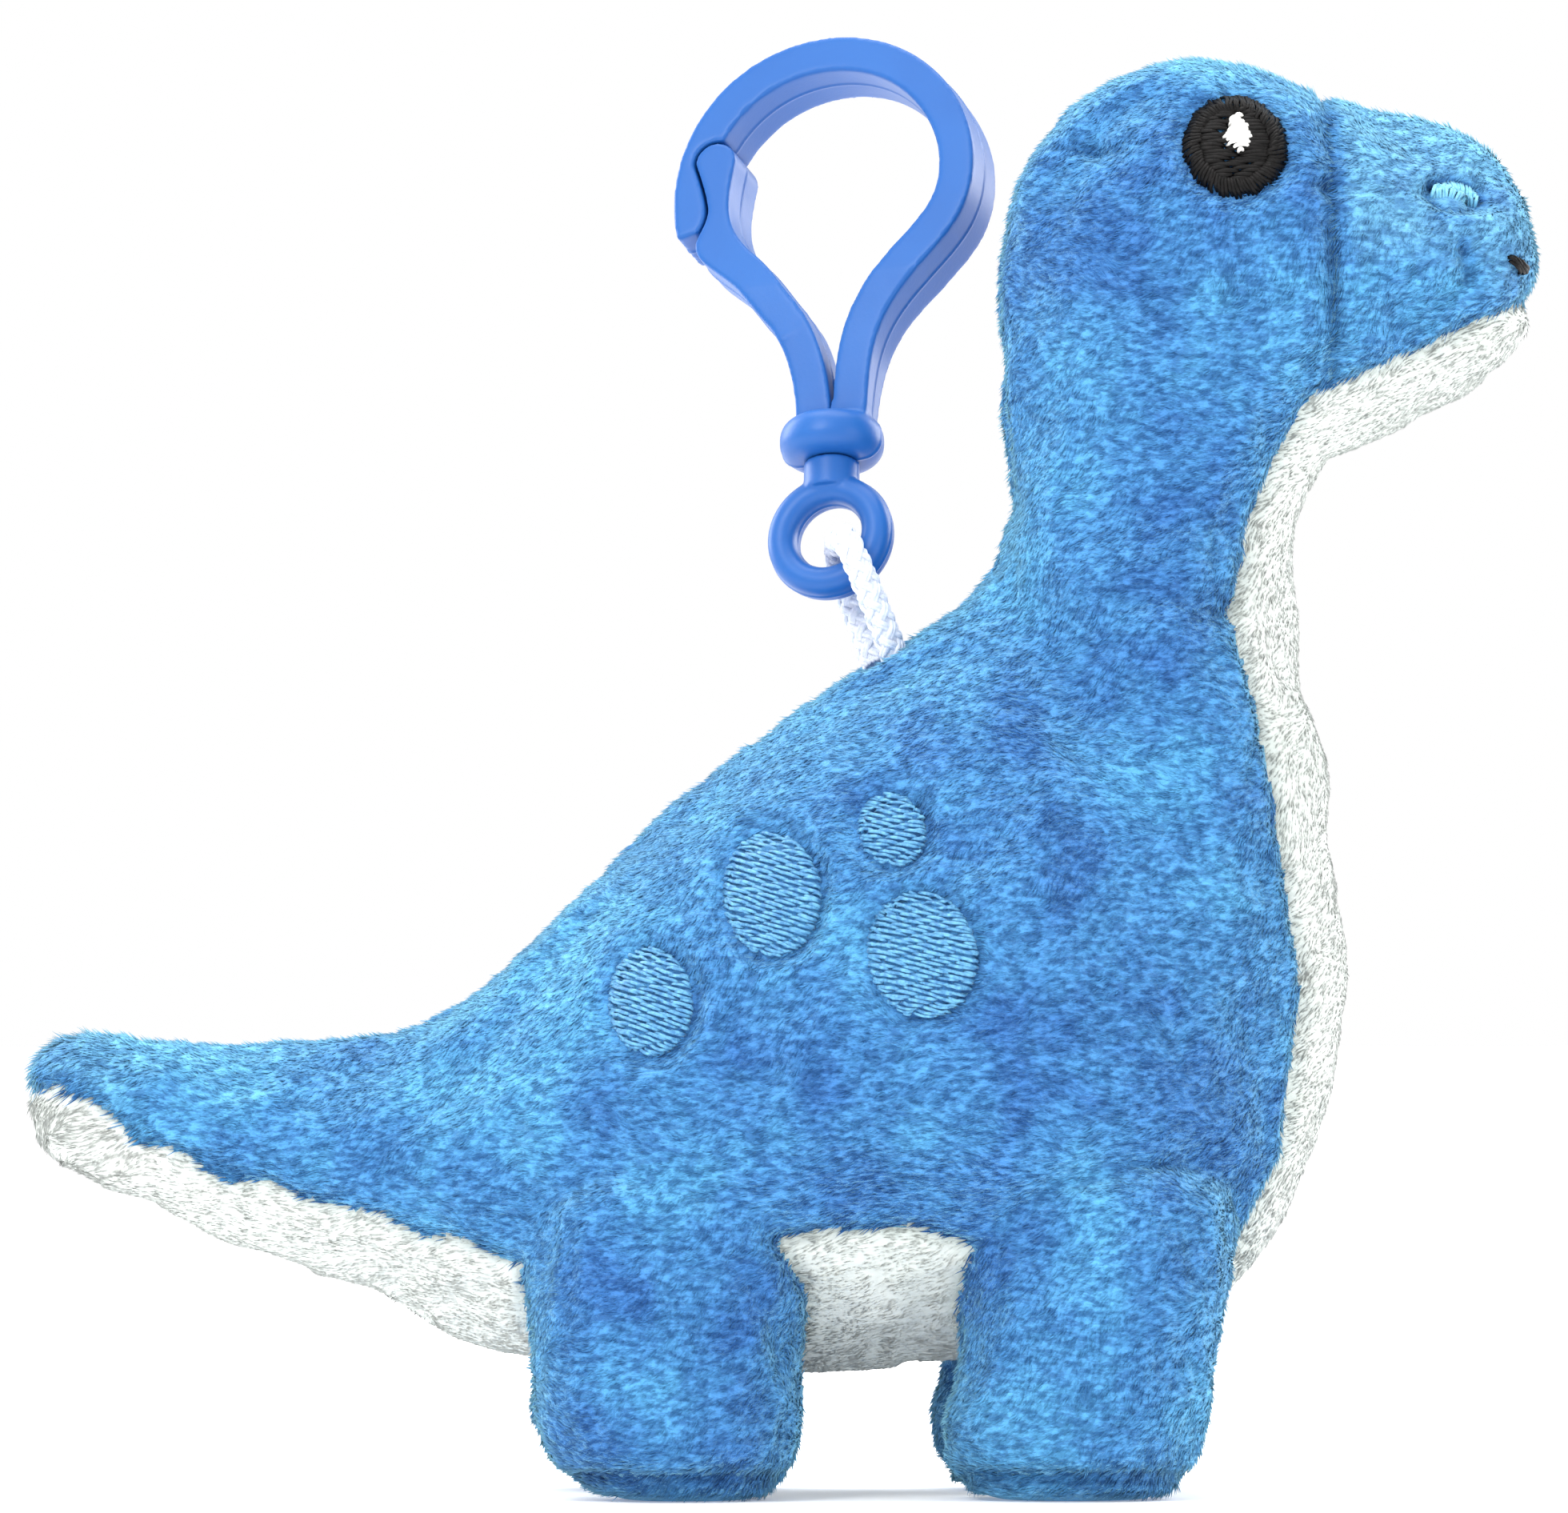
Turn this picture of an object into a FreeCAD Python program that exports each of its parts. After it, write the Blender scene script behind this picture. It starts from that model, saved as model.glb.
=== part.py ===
import FreeCAD, Part
import math
import os

from FreeCAD import Matrix, Placement, Rotation, Vector

# A plush long-necked dinosaur with a back loop and a plastic snap clip.
# +X runs towards the head, +Y to the animal's left, +Z up. The soles stand on
# z = 0 and the middle seam lies in y = 0. Lengths are millimetres.

doc = FreeCAD.newDocument("plush_dinosaur")

# ---------------------------------------------------------------- driving sizes
DIMENSIONS = {
    "plush_length": 134.6,
    "plush_height": 128.3,
    "plush_width": 50.0,
    "fabric_wall": 1.2,
    "stuffing_gap": 0.15,
    "sole_wrap": 2.0,
    "leg_spread": 27.4,
    "thread_height": 0.45,
    "eye_radius": 4.4,
    "glint_radius": 1.8,
    "nostril_width": 4.2,
    "nostril_height": 1.7,
    "mouth_length": 2.6,
    "mouth_width": 0.9,
    "cord_diameter": 2.7,
    "cord_seat_depth": 1.2,
    "cord_swing_gap": 0.7,
    "knot_radius": 2.9,
    "tail_length": 3.2,
    "ring_mid_radius": 4.45,
    "ring_wire_width": 2.6,
    "ring_wire_depth": 3.6,
    "shoulder_diameter": 5.0,
    "shoulder_top": 7.2,
    "collar_diameter": 9.4,
    "collar_height": 3.9,
    "collar_edge": 1.7,
    "socket_floor": 1.1,
    "pin_diameter": 3.0,
    "pin_length": 1.34,
    "snap_diameter": 5.0,
    "snap_height": 1.1,
    "swivel_gap": 0.12,
    "clip_depth": 6.6,
    "clip_root_depth": 3.6,
    "clip_wire": 3.3,
    "bulb_radius": 1.9,
    "gate_gap": 0.2,
    "arm_radius": 1.65,
    "clip_lean": 23.0,
    "clip_turn": 22.0,
    "clip_roll": 1.5,
}

sheet = doc.addObject("Spreadsheet::Sheet", "sizes")
for row, (alias, value) in enumerate(DIMENSIONS.items(), start=1):
    sheet.set(f"A{row}", alias)
    sheet.set(f"B{row}", str(value))
    sheet.setAlias(f"B{row}", alias)
doc.recompute()


def size(alias):
    """One driving dimension, read back from the sheet."""
    return float(sheet.get(alias))


# The sewing pattern is drawn at its nominal grade and scaled to the sheet's sizes.
PATTERN_LENGTH = 134.6
PATTERN_HEIGHT = 128.3
PATTERN_WIDTH = 50.0
GRADE_X = size("plush_length") / PATTERN_LENGTH
GRADE_Y = size("plush_width") / PATTERN_WIDTH
GRADE_Z = size("plush_height") / PATTERN_HEIGHT
WALL = size("fabric_wall")

# Sections of the stuffed trunk from the tail's tip to the muzzle. Each runs from
# a point on the back to a point on the underside: (x, z), (x, z), half width.
TAIL = [
    ((-67.1, 38.2), (-66.9, 33.0), 2.4),
    ((-65.6, 40.0), (-65.0, 30.0), 4.6),
    ((-61.0, 40.8), (-60.0, 27.0), 6.4),
    ((-52.0, 40.4), (-52.0, 23.6), 8.2),
    ((-42.0, 40.6), (-42.6, 19.6), 10.0),
    ((-33.0, 41.6), (-33.8, 16.4), 12.6),
]
BODY = [
    ((-25.0, 46.2), (-25.4, 13.8), 16.2),
    ((-14.0, 57.6), (-14.6, 12.2), 20.8),
    ((-1.0, 68.4), (-1.4, 11.8), 24.0),
    ((10.6, 75.9), (10.6, 12.0), 25.0),
    ((14.6, 78.3), (23.8, 13.0), 24.6),
    ((16.6, 80.0), (36.6, 16.6), 22.4),
    ((17.9, 81.4), (47.0, 30.6), 18.6),
    ((18.8, 82.8), (49.9, 47.7), 17.0),
    ((19.4, 84.2), (48.4, 65.6), 16.4),
]
NECK = [
    ((19.8, 86.0), (45.9, 77.0), 15.4),
    ((20.2, 88.4), (45.1, 84.0), 14.4),
    ((20.4, 93.6), (46.8, 89.2), 13.8),
    ((20.0, 100.2), (48.4, 91.6), 14.0),
]
HEAD = [
    ((19.6, 107.2), (50.0, 92.8), 14.4),
    ((20.2, 113.4), (51.2, 93.4), 14.8),
    ((22.4, 119.4), (52.2, 94.0), 15.2),
    ((26.6, 124.4), (53.2, 94.5), 15.6),
    ((32.4, 127.4), (54.4, 95.0), 15.8),
    ((39.2, 128.0), (55.8, 95.8), 15.4),
    ((46.9, 125.6), (57.4, 96.8), 14.4),
    ((53.8, 123.6), (60.0, 98.2), 13.2),
    ((59.9, 122.2), (62.8, 100.0), 11.4),
    ((64.2, 118.4), (65.2, 102.0), 8.8),
    ((66.3, 114.2), (66.5, 104.6), 5.8),
    ((67.1, 111.0), (67.1, 107.4), 2.6),
]
# Level sections of a leg: z, back x, front x, half width.
REAR_LEG = [
    (0.0, -14.6, -3.4, 5.6),
    (0.9, -17.6, -1.4, 7.8),
    (3.0, -20.6, 0.4, 9.8),
    (6.5, -22.2, 1.4, 10.6),
    (12.0, -22.4, 1.4, 10.8),
    (19.0, -23.2, 1.2, 10.4),
    (28.0, -20.0, -1.0, 7.6),
]
FRONT_LEG = [
    (0.0, 18.4, 31.6, 5.6),
    (0.9, 16.0, 34.4, 7.8),
    (3.0, 14.4, 36.2, 9.8),
    (6.5, 13.9, 37.2, 10.6),
    (12.0, 14.9, 37.8, 10.8),
    (19.0, 15.4, 39.4, 10.4),
    (28.0, 17.6, 38.0, 7.0),
]
# The seam between the blue sides and the white gusset, seen from the side: x, z.
# It runs from the tail's tip under the belly to the chest, the throat and the chin.
GUSSET_SEAM = [
    (-72.0, 37.2),
    (-63.6, 36.4),
    (-54.0, 29.9),
    (-38.0, 25.2),
    (-25.0, 21.4),
    (-10.0, 21.8),
    (3.0, 23.8),
    (12.0, 23.6),
    (28.0, 19.8),
    (40.0, 21.2),
    (44.4, 30.4),
    (46.2, 45.0),
    (42.8, 65.6),
    (40.1, 79.0),
    (41.5, 87.0),
    (46.8, 97.7),
    (56.0, 101.3),
    (63.2, 105.2),
    (72.0, 108.6),
]
MUZZLE_SEAM_X = 48.5
KAPPA = 0.5523  # where a cubic's handles lie to make a quarter of an oval
SMALLEST_HALF = 0.7  # no section shrinks below this half size
PAST_FLANK = 60.0  # beyond either flank in y
PAST_MIDDLE = 1.0  # a little beyond the middle seam, for clean cuts
BEYOND = 90.0  # beyond either end in x


def half_oval(back, under, half_width, growth, shift):
    """The left half of an oval section, closed by a straight line in the middle seam."""
    top = Vector(back[0] * GRADE_X, 0, back[1] * GRADE_Z)
    bottom = Vector(under[0] * GRADE_X, 0, under[1] * GRADE_Z)
    middle = (top + bottom) / 2 + shift
    up = (top - bottom).normalize()
    rise = up * max((top - bottom).Length / 2 + growth, SMALLEST_HALF)
    out = Vector(0, max(half_width * GRADE_Y + growth, SMALLEST_HALF), 0)
    poles = [
        middle - rise,
        middle - rise + out * KAPPA,
        middle + out - rise * KAPPA,
        middle + out,
        middle + out + rise * KAPPA,
        middle + rise + out * KAPPA,
        middle + rise,
    ]
    arc = Part.BSplineCurve()
    arc.buildFromPolesMultsKnots(poles, [4, 3, 4], [0, 0.5, 1], False, 3)
    return Part.Wire([arc.toShape(), Part.LineSegment(poles[-1], poles[0]).toShape()])


def half_trunk(stations, growth):
    """The left half of a stuffed run of the trunk, grown outwards or, if negative, inwards."""
    wires = []
    for station in stations:
        back, under, half_width = station
        reach = {id(TAIL[0]): -growth, id(HEAD[-1]): growth}.get(id(station), 0.0)
        wires.append(half_oval(back, under, half_width, growth, Vector(reach, 0, 0)))
    return Part.makeLoft(wires, True, False)


def leg(stations, growth, sole_lift):
    """A solid left leg through level ovals; its lowest sections rise by sole_lift."""
    wires = []
    for index, (z, back, front, half_width) in enumerate(stations):
        lift = sole_lift if index < 2 else 0.0
        middle = Vector((back + front) / 2 * GRADE_X, LEG_Y, z * GRADE_Z + lift)
        along = Vector((front - back) / 2 * GRADE_X + growth, 0, 0)
        across = Vector(0, half_width * GRADE_Y + growth, 0)
        poles = []
        for u, v in ((along, across), (across, -along), (-along, -across), (-across, along)):
            poles += [middle + u, middle + u + v * KAPPA, middle + v + u * KAPPA]
        poles.append(poles[0])
        oval = Part.BSplineCurve()
        oval.buildFromPolesMultsKnots(poles, [4, 3, 3, 3, 4], [0, 1, 2, 3, 4], False, 3)
        wires.append(Part.Wire([oval.toShape()]))
    return Part.makeLoft(wires, True, False)


def prism(points, low_y, high_y):
    """A closed outline in the xz plane, drawn out along y."""
    corners = [Vector(x * GRADE_X, low_y, z * GRADE_Z) for x, z in points]
    face = Part.Face(Part.makePolygon(corners + corners[:1]))
    return face.extrude(Vector(0, high_y - low_y, 0))


def block(low, high):
    """A box between two corners."""
    return Part.makeBox(*(high - low), low)


nodes = []


def keep(label, shape):
    """A document object for a sewn, stuffed or stitched piece, from its finished shape."""
    feature = doc.addObject("Part::Feature", label)
    feature.Label = label
    feature.Shape = shape
    nodes.append(feature)
    return feature


def mirrored(shape):
    """The same piece on the animal's right."""
    return shape.mirror(Vector(), Vector(0, 1, 0))


def whole(shape):
    """Both halves of a piece that crosses the middle seam, as one solid."""
    return shape.fuse(mirrored(shape)).removeSplitter()


# ---------------------------------------------------------------- body and legs
LEG_Y = size("leg_spread") / 2 * GRADE_Y
TRUNK = TAIL + BODY + NECK + HEAD
trunk_outer = half_trunk(TRUNK, 0.0)
trunk_inner = half_trunk(TRUNK, -WALL)
legs_outer = [leg(stations, 0.0, 0.0) for stations in (REAR_LEG, FRONT_LEG)]
legs_inner = [leg(stations, -WALL, WALL) for stations in (REAR_LEG, FRONT_LEG)]

# The loop leaves the back seam here, and swings about the seam's own line.
LOOP_X = 9.35
inside_body = Vector(LOOP_X * GRADE_X, 0, PATTERN_HEIGHT / 3 * GRADE_Z)
above_body = Vector(LOOP_X * GRADE_X, 0, PATTERN_HEIGHT * GRADE_Z)
seam_reach = Part.LineSegment(inside_body, above_body).toShape()
seam_line = Part.LineSegment(
    Vector(BODY[3][0][0] * GRADE_X, 0, BODY[3][0][1] * GRADE_Z),
    Vector(BODY[2][0][0] * GRADE_X, 0, BODY[2][0][1] * GRADE_Z),
)
loop_exit = Vector(LOOP_X * GRADE_X, 0, trunk_outer.common(seam_reach).BoundBox.ZMax)
seam_way = (seam_line.StartPoint - seam_line.EndPoint).normalize()

CORD_RADIUS = size("cord_diameter") / 2
SEAT_DEPTH = size("cord_seat_depth")
STRAND_SPREAD = 1.5
FOOT_SPREAD = 0.95
strand_foot = Vector(FOOT_SPREAD, -STRAND_SPREAD, -SEAT_DEPTH)
off_seam = strand_foot - seam_way * strand_foot.dot(seam_way)
swing_radius = off_seam.Length + CORD_RADIUS + size("cord_swing_gap")
swing_length = 2 * (FOOT_SPREAD + SEAT_DEPTH + CORD_RADIUS + size("cord_swing_gap"))
swing_room = Part.makeCylinder(
    swing_radius, swing_length, loop_exit - seam_way * swing_length / 2, seam_way
)

skin = trunk_outer.fuse(legs_outer).cut(trunk_inner.fuse(legs_inner)).cut(swing_room)
UNDER_SOLES = -20.0
around_below = [
    (BEYOND, GUSSET_SEAM[-1][1]),
    (BEYOND, UNDER_SOLES),
    (-BEYOND, UNDER_SOLES),
    (-BEYOND, GUSSET_SEAM[0][1]),
]
gusset_zone = prism(GUSSET_SEAM + around_below, -PAST_MIDDLE, PAST_FLANK)
gusset_zone = gusset_zone.cut(legs_outer[0]).cut(legs_outer[1])
keep("belly_gusset", whole(skin.common(gusset_zone)))

blue = skin.cut(gusset_zone)
leg_names = ("rear", "front")
SOLE_WRAP = size("sole_wrap")
INNER_PANEL_TOP = 18.6
LEG_SPACING = 0.5  # the inner panels stay this far from the middle
for name, stations in zip(leg_names, (REAR_LEG, FRONT_LEG)):
    back = (min(station[1] for station in stations) - 1.0) * GRADE_X
    front = (max(station[2] for station in stations[:-2]) + 0.4) * GRADE_X
    low_corner = Vector(back, LEG_SPACING, -PAST_MIDDLE)
    reach = block(low_corner, Vector(front, LEG_Y, INNER_PANEL_TOP * GRADE_Z))
    sole = block(low_corner, Vector(front, PAST_FLANK, SOLE_WRAP))
    zone = reach.fuse(sole)
    panel = blue.common(zone)
    blue = blue.cut(zone)
    keep(f"left_{name}_inner_leg_panel", panel)
    keep(f"right_{name}_inner_leg_panel", mirrored(panel))

CHEST_TOP = 80.0
muzzle_zone = block(
    Vector(MUZZLE_SEAM_X * GRADE_X, -PAST_MIDDLE, CHEST_TOP * GRADE_Z),
    Vector(BEYOND, PAST_FLANK, (PATTERN_HEIGHT + SOLE_WRAP) * GRADE_Z),
)
keep("left_muzzle_panel", blue.common(muzzle_zone))
keep("right_muzzle_panel", mirrored(blue.common(muzzle_zone)))
keep("left_side_panel", blue.cut(muzzle_zone))
keep("right_side_panel", mirrored(blue.cut(muzzle_zone)))

# ---------------------------------------------------------------- stuffing
FILL = -(WALL + size("stuffing_gap"))
knot_centre = loop_exit - Vector(0, 0, swing_radius + size("tail_length") + size("knot_radius"))
fill = half_trunk(TRUNK, FILL)


def cut_end(station, shift):
    """The two ends of a cut across the trunk at a station, reaching past the skin."""
    back, under, _ = station
    x_reach = (back[0] - under[0]) * CUT_REACH
    z_reach = (back[1] - under[1]) * CUT_REACH
    return [
        (back[0] + x_reach + shift, back[1] + z_reach + shift),
        (under[0] - x_reach + shift, under[1] - z_reach + shift),
    ]


CUT_REACH = 0.3  # how far a cut passes the skin, as a share of the section's height
WAD_GAP = 0.05  # between two wads, so that they never share a face
tail_zone = block(
    Vector(-BEYOND * GRADE_X, -PAST_MIDDLE, UNDER_SOLES),
    Vector(BODY[0][0][0] * GRADE_X, PAST_FLANK, PATTERN_HEIGHT * GRADE_Z),
)
neck_low = cut_end(NECK[0], 0.0)
head_low = cut_end(HEAD[0], 0.0)
neck_top = cut_end(HEAD[0], -WAD_GAP)
ABOVE_HEAD = 145.0
neck_zone = prism([neck_low[0], neck_low[1], neck_top[1], neck_top[0]], -PAST_MIDDLE, PAST_FLANK)
over_head = [(BEYOND, head_low[1][1]), (BEYOND, ABOVE_HEAD), (head_low[0][0], ABOVE_HEAD)]
head_zone = prism([*head_low, *over_head], -PAST_MIDDLE, PAST_FLANK)
body_low = cut_end(NECK[0], -WAD_GAP)
over_body = [(BEYOND, body_low[1][1]), (BEYOND, ABOVE_HEAD), (body_low[0][0], ABOVE_HEAD)]
above_body_zone = prism([*body_low, *over_body], -PAST_MIDDLE, PAST_FLANK)
beside_tail = tail_zone.copy()
beside_tail.translate(Vector(WAD_GAP, 0, 0))
wads = {
    "tail_stuffing": fill.common(tail_zone),
    "body_stuffing": fill.cut(beside_tail).cut(above_body_zone),
    "neck_stuffing": fill.common(neck_zone),
    "head_stuffing": fill.common(head_zone),
}
for label in wads:
    wads[label] = max(wads[label].Solids, key=lambda piece: piece.Volume)
for name, stations in zip(leg_names, (REAR_LEG, FRONT_LEG)):
    wad = leg(stations, FILL, -FILL).cut(wads["body_stuffing"]).cut(wads["tail_stuffing"])
    wad = max(wad.Solids, key=lambda piece: piece.Volume)
    keep(f"left_{name}_leg_stuffing", wad)
    keep(f"right_{name}_leg_stuffing", mirrored(wad))

# ---------------------------------------------------------------- loop's anchor
knot = doc.addObject("Part::Sphere", "knot")
knot.setExpression("Radius", "sizes.knot_radius")
knot.Placement = Placement(knot_centre, Rotation())
tails = []
for name, y in (("front_tail", -STRAND_SPREAD), ("rear_tail", STRAND_SPREAD)):
    tail = doc.addObject("Part::Cylinder", name)
    tail.setExpression("Radius", "sizes.cord_diameter / 2")
    tail.setExpression("Height", "sizes.tail_length + sizes.knot_radius")
    tail.Placement = Placement(knot_centre + Vector(0, y, 0), Rotation())
    tails.append(tail)
anchor = doc.addObject("Part::MultiFuse", "loop_anchor")
anchor.Shapes = [knot, *tails]
anchor.Label = "loop_anchor"
doc.recompute()
nodes.append(anchor)

for label, wad in wads.items():
    body_shape = whole(wad)
    if label == "body_stuffing":
        around = swing_room.fuse(mirrored(swing_room))
        body_shape = body_shape.cut(around).cut(anchor.Shape)
    keep(label, body_shape)

# ---------------------------------------------------------------- embroidery
THREAD = size("thread_height")
first_layer = half_trunk(TRUNK, THREAD)
second_layer = half_trunk(TRUNK, 2 * THREAD)


def stitched(x, z, half_x, half_z, lean, above, below):
    """A patch of stitches on the left flank: an oval leaning by some degrees."""
    centre = Vector(x * GRADE_X, 0, z * GRADE_Z)
    ring = Part.Wire([Part.Circle(Vector(), Vector(0, 1, 0), 1.0).toShape()])
    grow = Matrix()
    grow.scale(half_x, 1.0, half_z)
    face = Part.Face(ring.transformGeometry(grow))
    face.Placement = Placement(centre, Rotation(Vector(0, 1, 0), lean))
    return solid_of(face.extrude(Vector(0, PAST_FLANK, 0)).common(above).cut(below))


def solid_of(shape):
    """The shape's one real solid, without splinters."""
    return max(shape.Solids, key=lambda piece: piece.Volume)


EYE_RADIUS = size("eye_radius")
GLINT_RADIUS = size("glint_radius")
# Each patch: name, x, z, half width, half height, lean towards the head in degrees.
PATCHES = [
    ("eye", 39.8, 120.1, EYE_RADIUS, EYE_RADIUS, 0.0),
    ("nostril", 59.5, 115.7, size("nostril_width") / 2, size("nostril_height") / 2, 12.0),
    ("mouth_stitch", 65.0, 109.6, size("mouth_length") / 2, size("mouth_width") / 2, 48.0),
    ("tail_spot", -12.3, 44.2, 3.7, 4.7, 8.0),
    ("rear_spot", -1.6, 53.7, 4.3, 5.4, 6.0),
    ("top_spot", 9.0, 59.4, 3.0, 3.2, 0.0),
    ("front_spot", 11.5, 48.4, 4.8, 5.5, 2.0),
]
for name, x, z, half_x, half_z, lean in PATCHES:
    patch = stitched(x, z, half_x, half_z, lean, first_layer, trunk_outer)
    keep(f"left_{name}", patch)
    keep(f"right_{name}", mirrored(patch))
GLINT_X = 40.3
GLINT_Z = 120.8
glint = stitched(GLINT_X, GLINT_Z, GLINT_RADIUS, GLINT_RADIUS, 0.0, second_layer, first_layer)
keep("left_eye_glint", glint)
keep("right_eye_glint", mirrored(glint))

# ---------------------------------------------------------------- cord loop
# The route's points, counted from where the loop leaves the seam: up the near
# side, through the ring from front to back, and down behind it.
LOOP_ROUTE = [
    (FOOT_SPREAD, -STRAND_SPREAD, -SEAT_DEPTH),
    (-2.2, -4.3, 6.6),
    (-4.3, -2.8, 11.2),
    (-4.3, 5.6, 8.2),
    (-2.4, 4.3, 3.2),
    (-FOOT_SPREAD, STRAND_SPREAD, -SEAT_DEPTH),
]
ARC_SHARE = 0.45


def rounded_path(points):
    """Straight runs joined by tangent arcs, with the arcs' radii and the whole length."""
    edges = []
    radii = []
    start = points[0]
    for before, corner, after in zip(points, points[1:], points[2:]):
        inward = (corner - before).normalize()
        outward = (after - corner).normalize()
        turn = inward.getAngle(outward)
        cut = ARC_SHARE * min((corner - before).Length, (after - corner).Length)
        radius = cut / math.tan(turn / 2)
        radii.append(round(radius, 2))
        arc_start = corner - inward * cut
        arc_end = corner + outward * cut
        sag = radius / math.cos(turn / 2) - radius
        arc_middle = corner + (outward - inward).normalize() * sag
        edges.append(Part.LineSegment(start, arc_start).toShape())
        edges.append(Part.Arc(arc_start, arc_middle, arc_end).toShape())
        start = arc_end
    edges.append(Part.LineSegment(start, points[-1]).toShape())
    wire = Part.Wire(edges)
    return wire, radii, wire.Length


loop_points = [loop_exit + Vector(*point) for point in LOOP_ROUTE]
loop_path, loop_radii, loop_length = rounded_path(loop_points)
cord_end = Part.Circle(loop_points[0], loop_points[1] - loop_points[0], CORD_RADIUS)
loop_tube = loop_path.makePipeShell([Part.Wire([cord_end.toShape()])], True, False)
keep("hang_loop", loop_tube)
expected = math.pi * CORD_RADIUS ** 2 * loop_length
volume_share = loop_tube.Volume / expected
print(f"loop arcs {loop_radii} length {loop_length:.2f} volume share {volume_share:.4f}")

# ---------------------------------------------------------------- snap clip
# The clip's own frame: origin at the ring's centre, x across, y into its depth, z along it.
RING_OFFSET = Vector(-4.96, 2.3, 10.3)
ring_centre = loop_exit + RING_OFFSET
clip_turning = (
    Rotation(Vector(0, 1, 0), size("clip_roll"))
    * Rotation(Vector(1, 0, 0), -size("clip_lean"))
    * Rotation(Vector(0, 0, 1), -size("clip_turn"))
)
clip_place = Placement(ring_centre, clip_turning)


WIRE = size("clip_wire")
DEPTH = size("clip_depth")
ROOT_DEPTH = size("clip_root_depth")
GATE_GAP = size("gate_gap")
# Centre lines of the hook's wire, x and z: up the back arm, round the arch and
# down to the nose, and the short root of the front arm.
HOOK_LINE = [
    (1.9, 9.4),
    (2.2, 12.2),
    (3.1, 17.9),
    (4.5, 21.1),
    (6.7, 24.0),
    (9.3, 26.7),
    (11.6, 29.6),
    (12.65, 33.7),
    (11.0, 39.8),
    (6.4, 44.5),
    (0.0, 46.2),
    (-6.4, 44.5),
    (-11.0, 39.8),
    (-12.65, 33.7),
    (-12.3, 30.2),
]
ROOT_LINE = [(-1.2, 9.4), (-1.3, 12.6), (-1.85, 16.6), (-2.9, 19.6), (-3.9, 21.3)]
KNUCKLE = (-3.9, 21.3)
BULB = (-10.3, 37.0)
# The gate's two edges from its knuckle up to its bulb, x and z.
GATE_OUTER_EDGE = [
    (-5.3, 20.4),
    (-6.1, 21.4),
    (-8.5, 24.6),
    (-10.5, 26.4),
    (-12.2, 28.9),
    (-11.1, 31.6),
    (-11.2, 33.6),
    (-12.2, 37.0),
]
GATE_INNER_EDGE = [
    (-8.4, 37.0),
    (-8.8, 35.0),
    (-9.0, 32.6),
    (-8.6, 30.4),
    (-7.4, 28.4),
    (-5.8, 26.7),
    (-3.4, 23.4),
    (-2.5, 22.2),
]
# Heights where the clip's depth starts and stops growing, and its outer reach.
THIN_TO = 12.5
FULL_FROM = 24.0
CLIP_BOTTOM = 5.0
CLIP_TOP = 55.0
CLIP_REACH = 30.0


def in_clip(point, y=0.0):
    """A point of the clip's own xz plane."""
    return Vector(point[0], y, point[1])


def smooth(points):
    """A smooth curve through points of the clip's plane."""
    curve = Part.BSplineCurve()
    curve.interpolate([in_clip(point) for point in points])
    return curve.toShape()


def beside(points, distance):
    """The same curve, moved sideways in the clip's plane by a distance."""
    line = smooth(points)
    moved = []
    for point in points:
        at = in_clip(point)
        along = line.tangentAt(line.Curve.parameter(at))
        shifted = at + along.cross(Vector(0, 1, 0)) * distance
        moved.append((shifted.x, shifted.z))
    return moved


def band(points):
    """A flat wire of the clip's width along a centre line in the clip's plane."""
    right = beside(points, WIRE / 2)
    left = beside(points, -WIRE / 2)
    start = Part.LineSegment(in_clip(left[0]), in_clip(right[0])).toShape()
    end = Part.LineSegment(in_clip(right[-1]), in_clip(left[-1])).toShape()
    return Part.Face(Part.Wire([start, smooth(right), end, smooth(left)]))


def gate_outline(growth):
    """The gate's outline, grown all round: knuckle below, bulb above, an edge on each side."""
    outer = beside(GATE_OUTER_EDGE, growth)
    inner = beside(GATE_INNER_EDGE, growth)
    over_bulb = in_clip((BULB[0], BULB[1] + size("bulb_radius") + growth))
    way = (in_clip(ROOT_LINE[-3]) - in_clip(KNUCKLE)).normalize()
    under = in_clip(KNUCKLE) + way * (size("arm_radius") + growth)
    bulb_arc = Part.Arc(in_clip(outer[-1]), over_bulb, in_clip(inner[0])).toShape()
    knuckle_arc = Part.Arc(in_clip(inner[-1]), under, in_clip(outer[0])).toShape()
    return Part.Face(Part.Wire([smooth(outer), bulb_arc, smooth(inner), knuckle_arc]))


def drawn_deep(face, half_depth):
    """A face of the clip's plane drawn out both ways into the clip's depth."""
    near = face.copy()
    near.translate(Vector(0, -half_depth, 0))
    return near.extrude(Vector(0, 2 * half_depth, 0))


def depth_envelope():
    """The clip thins from its arch to its collar."""
    half = DEPTH / 2
    root = ROOT_DEPTH / 2
    near_side = [(-root, CLIP_BOTTOM), (-root, THIN_TO), (-half, FULL_FROM), (-half, CLIP_TOP)]
    far_side = [(-y, z) for y, z in reversed(near_side)]
    edge = [Vector(-CLIP_REACH, y, z) for y, z in near_side + far_side]
    return Part.Face(Part.makePolygon(edge + edge[:1])).extrude(Vector(2 * CLIP_REACH, 0, 0))


def rims(turned):
    """The numbers of a turned shape's round edges."""
    edges = enumerate(turned.Shape.Edges, start=1)
    return [number for number, edge in edges if edge.Curve.TypeId == "Part::GeomCircle"]


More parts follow.
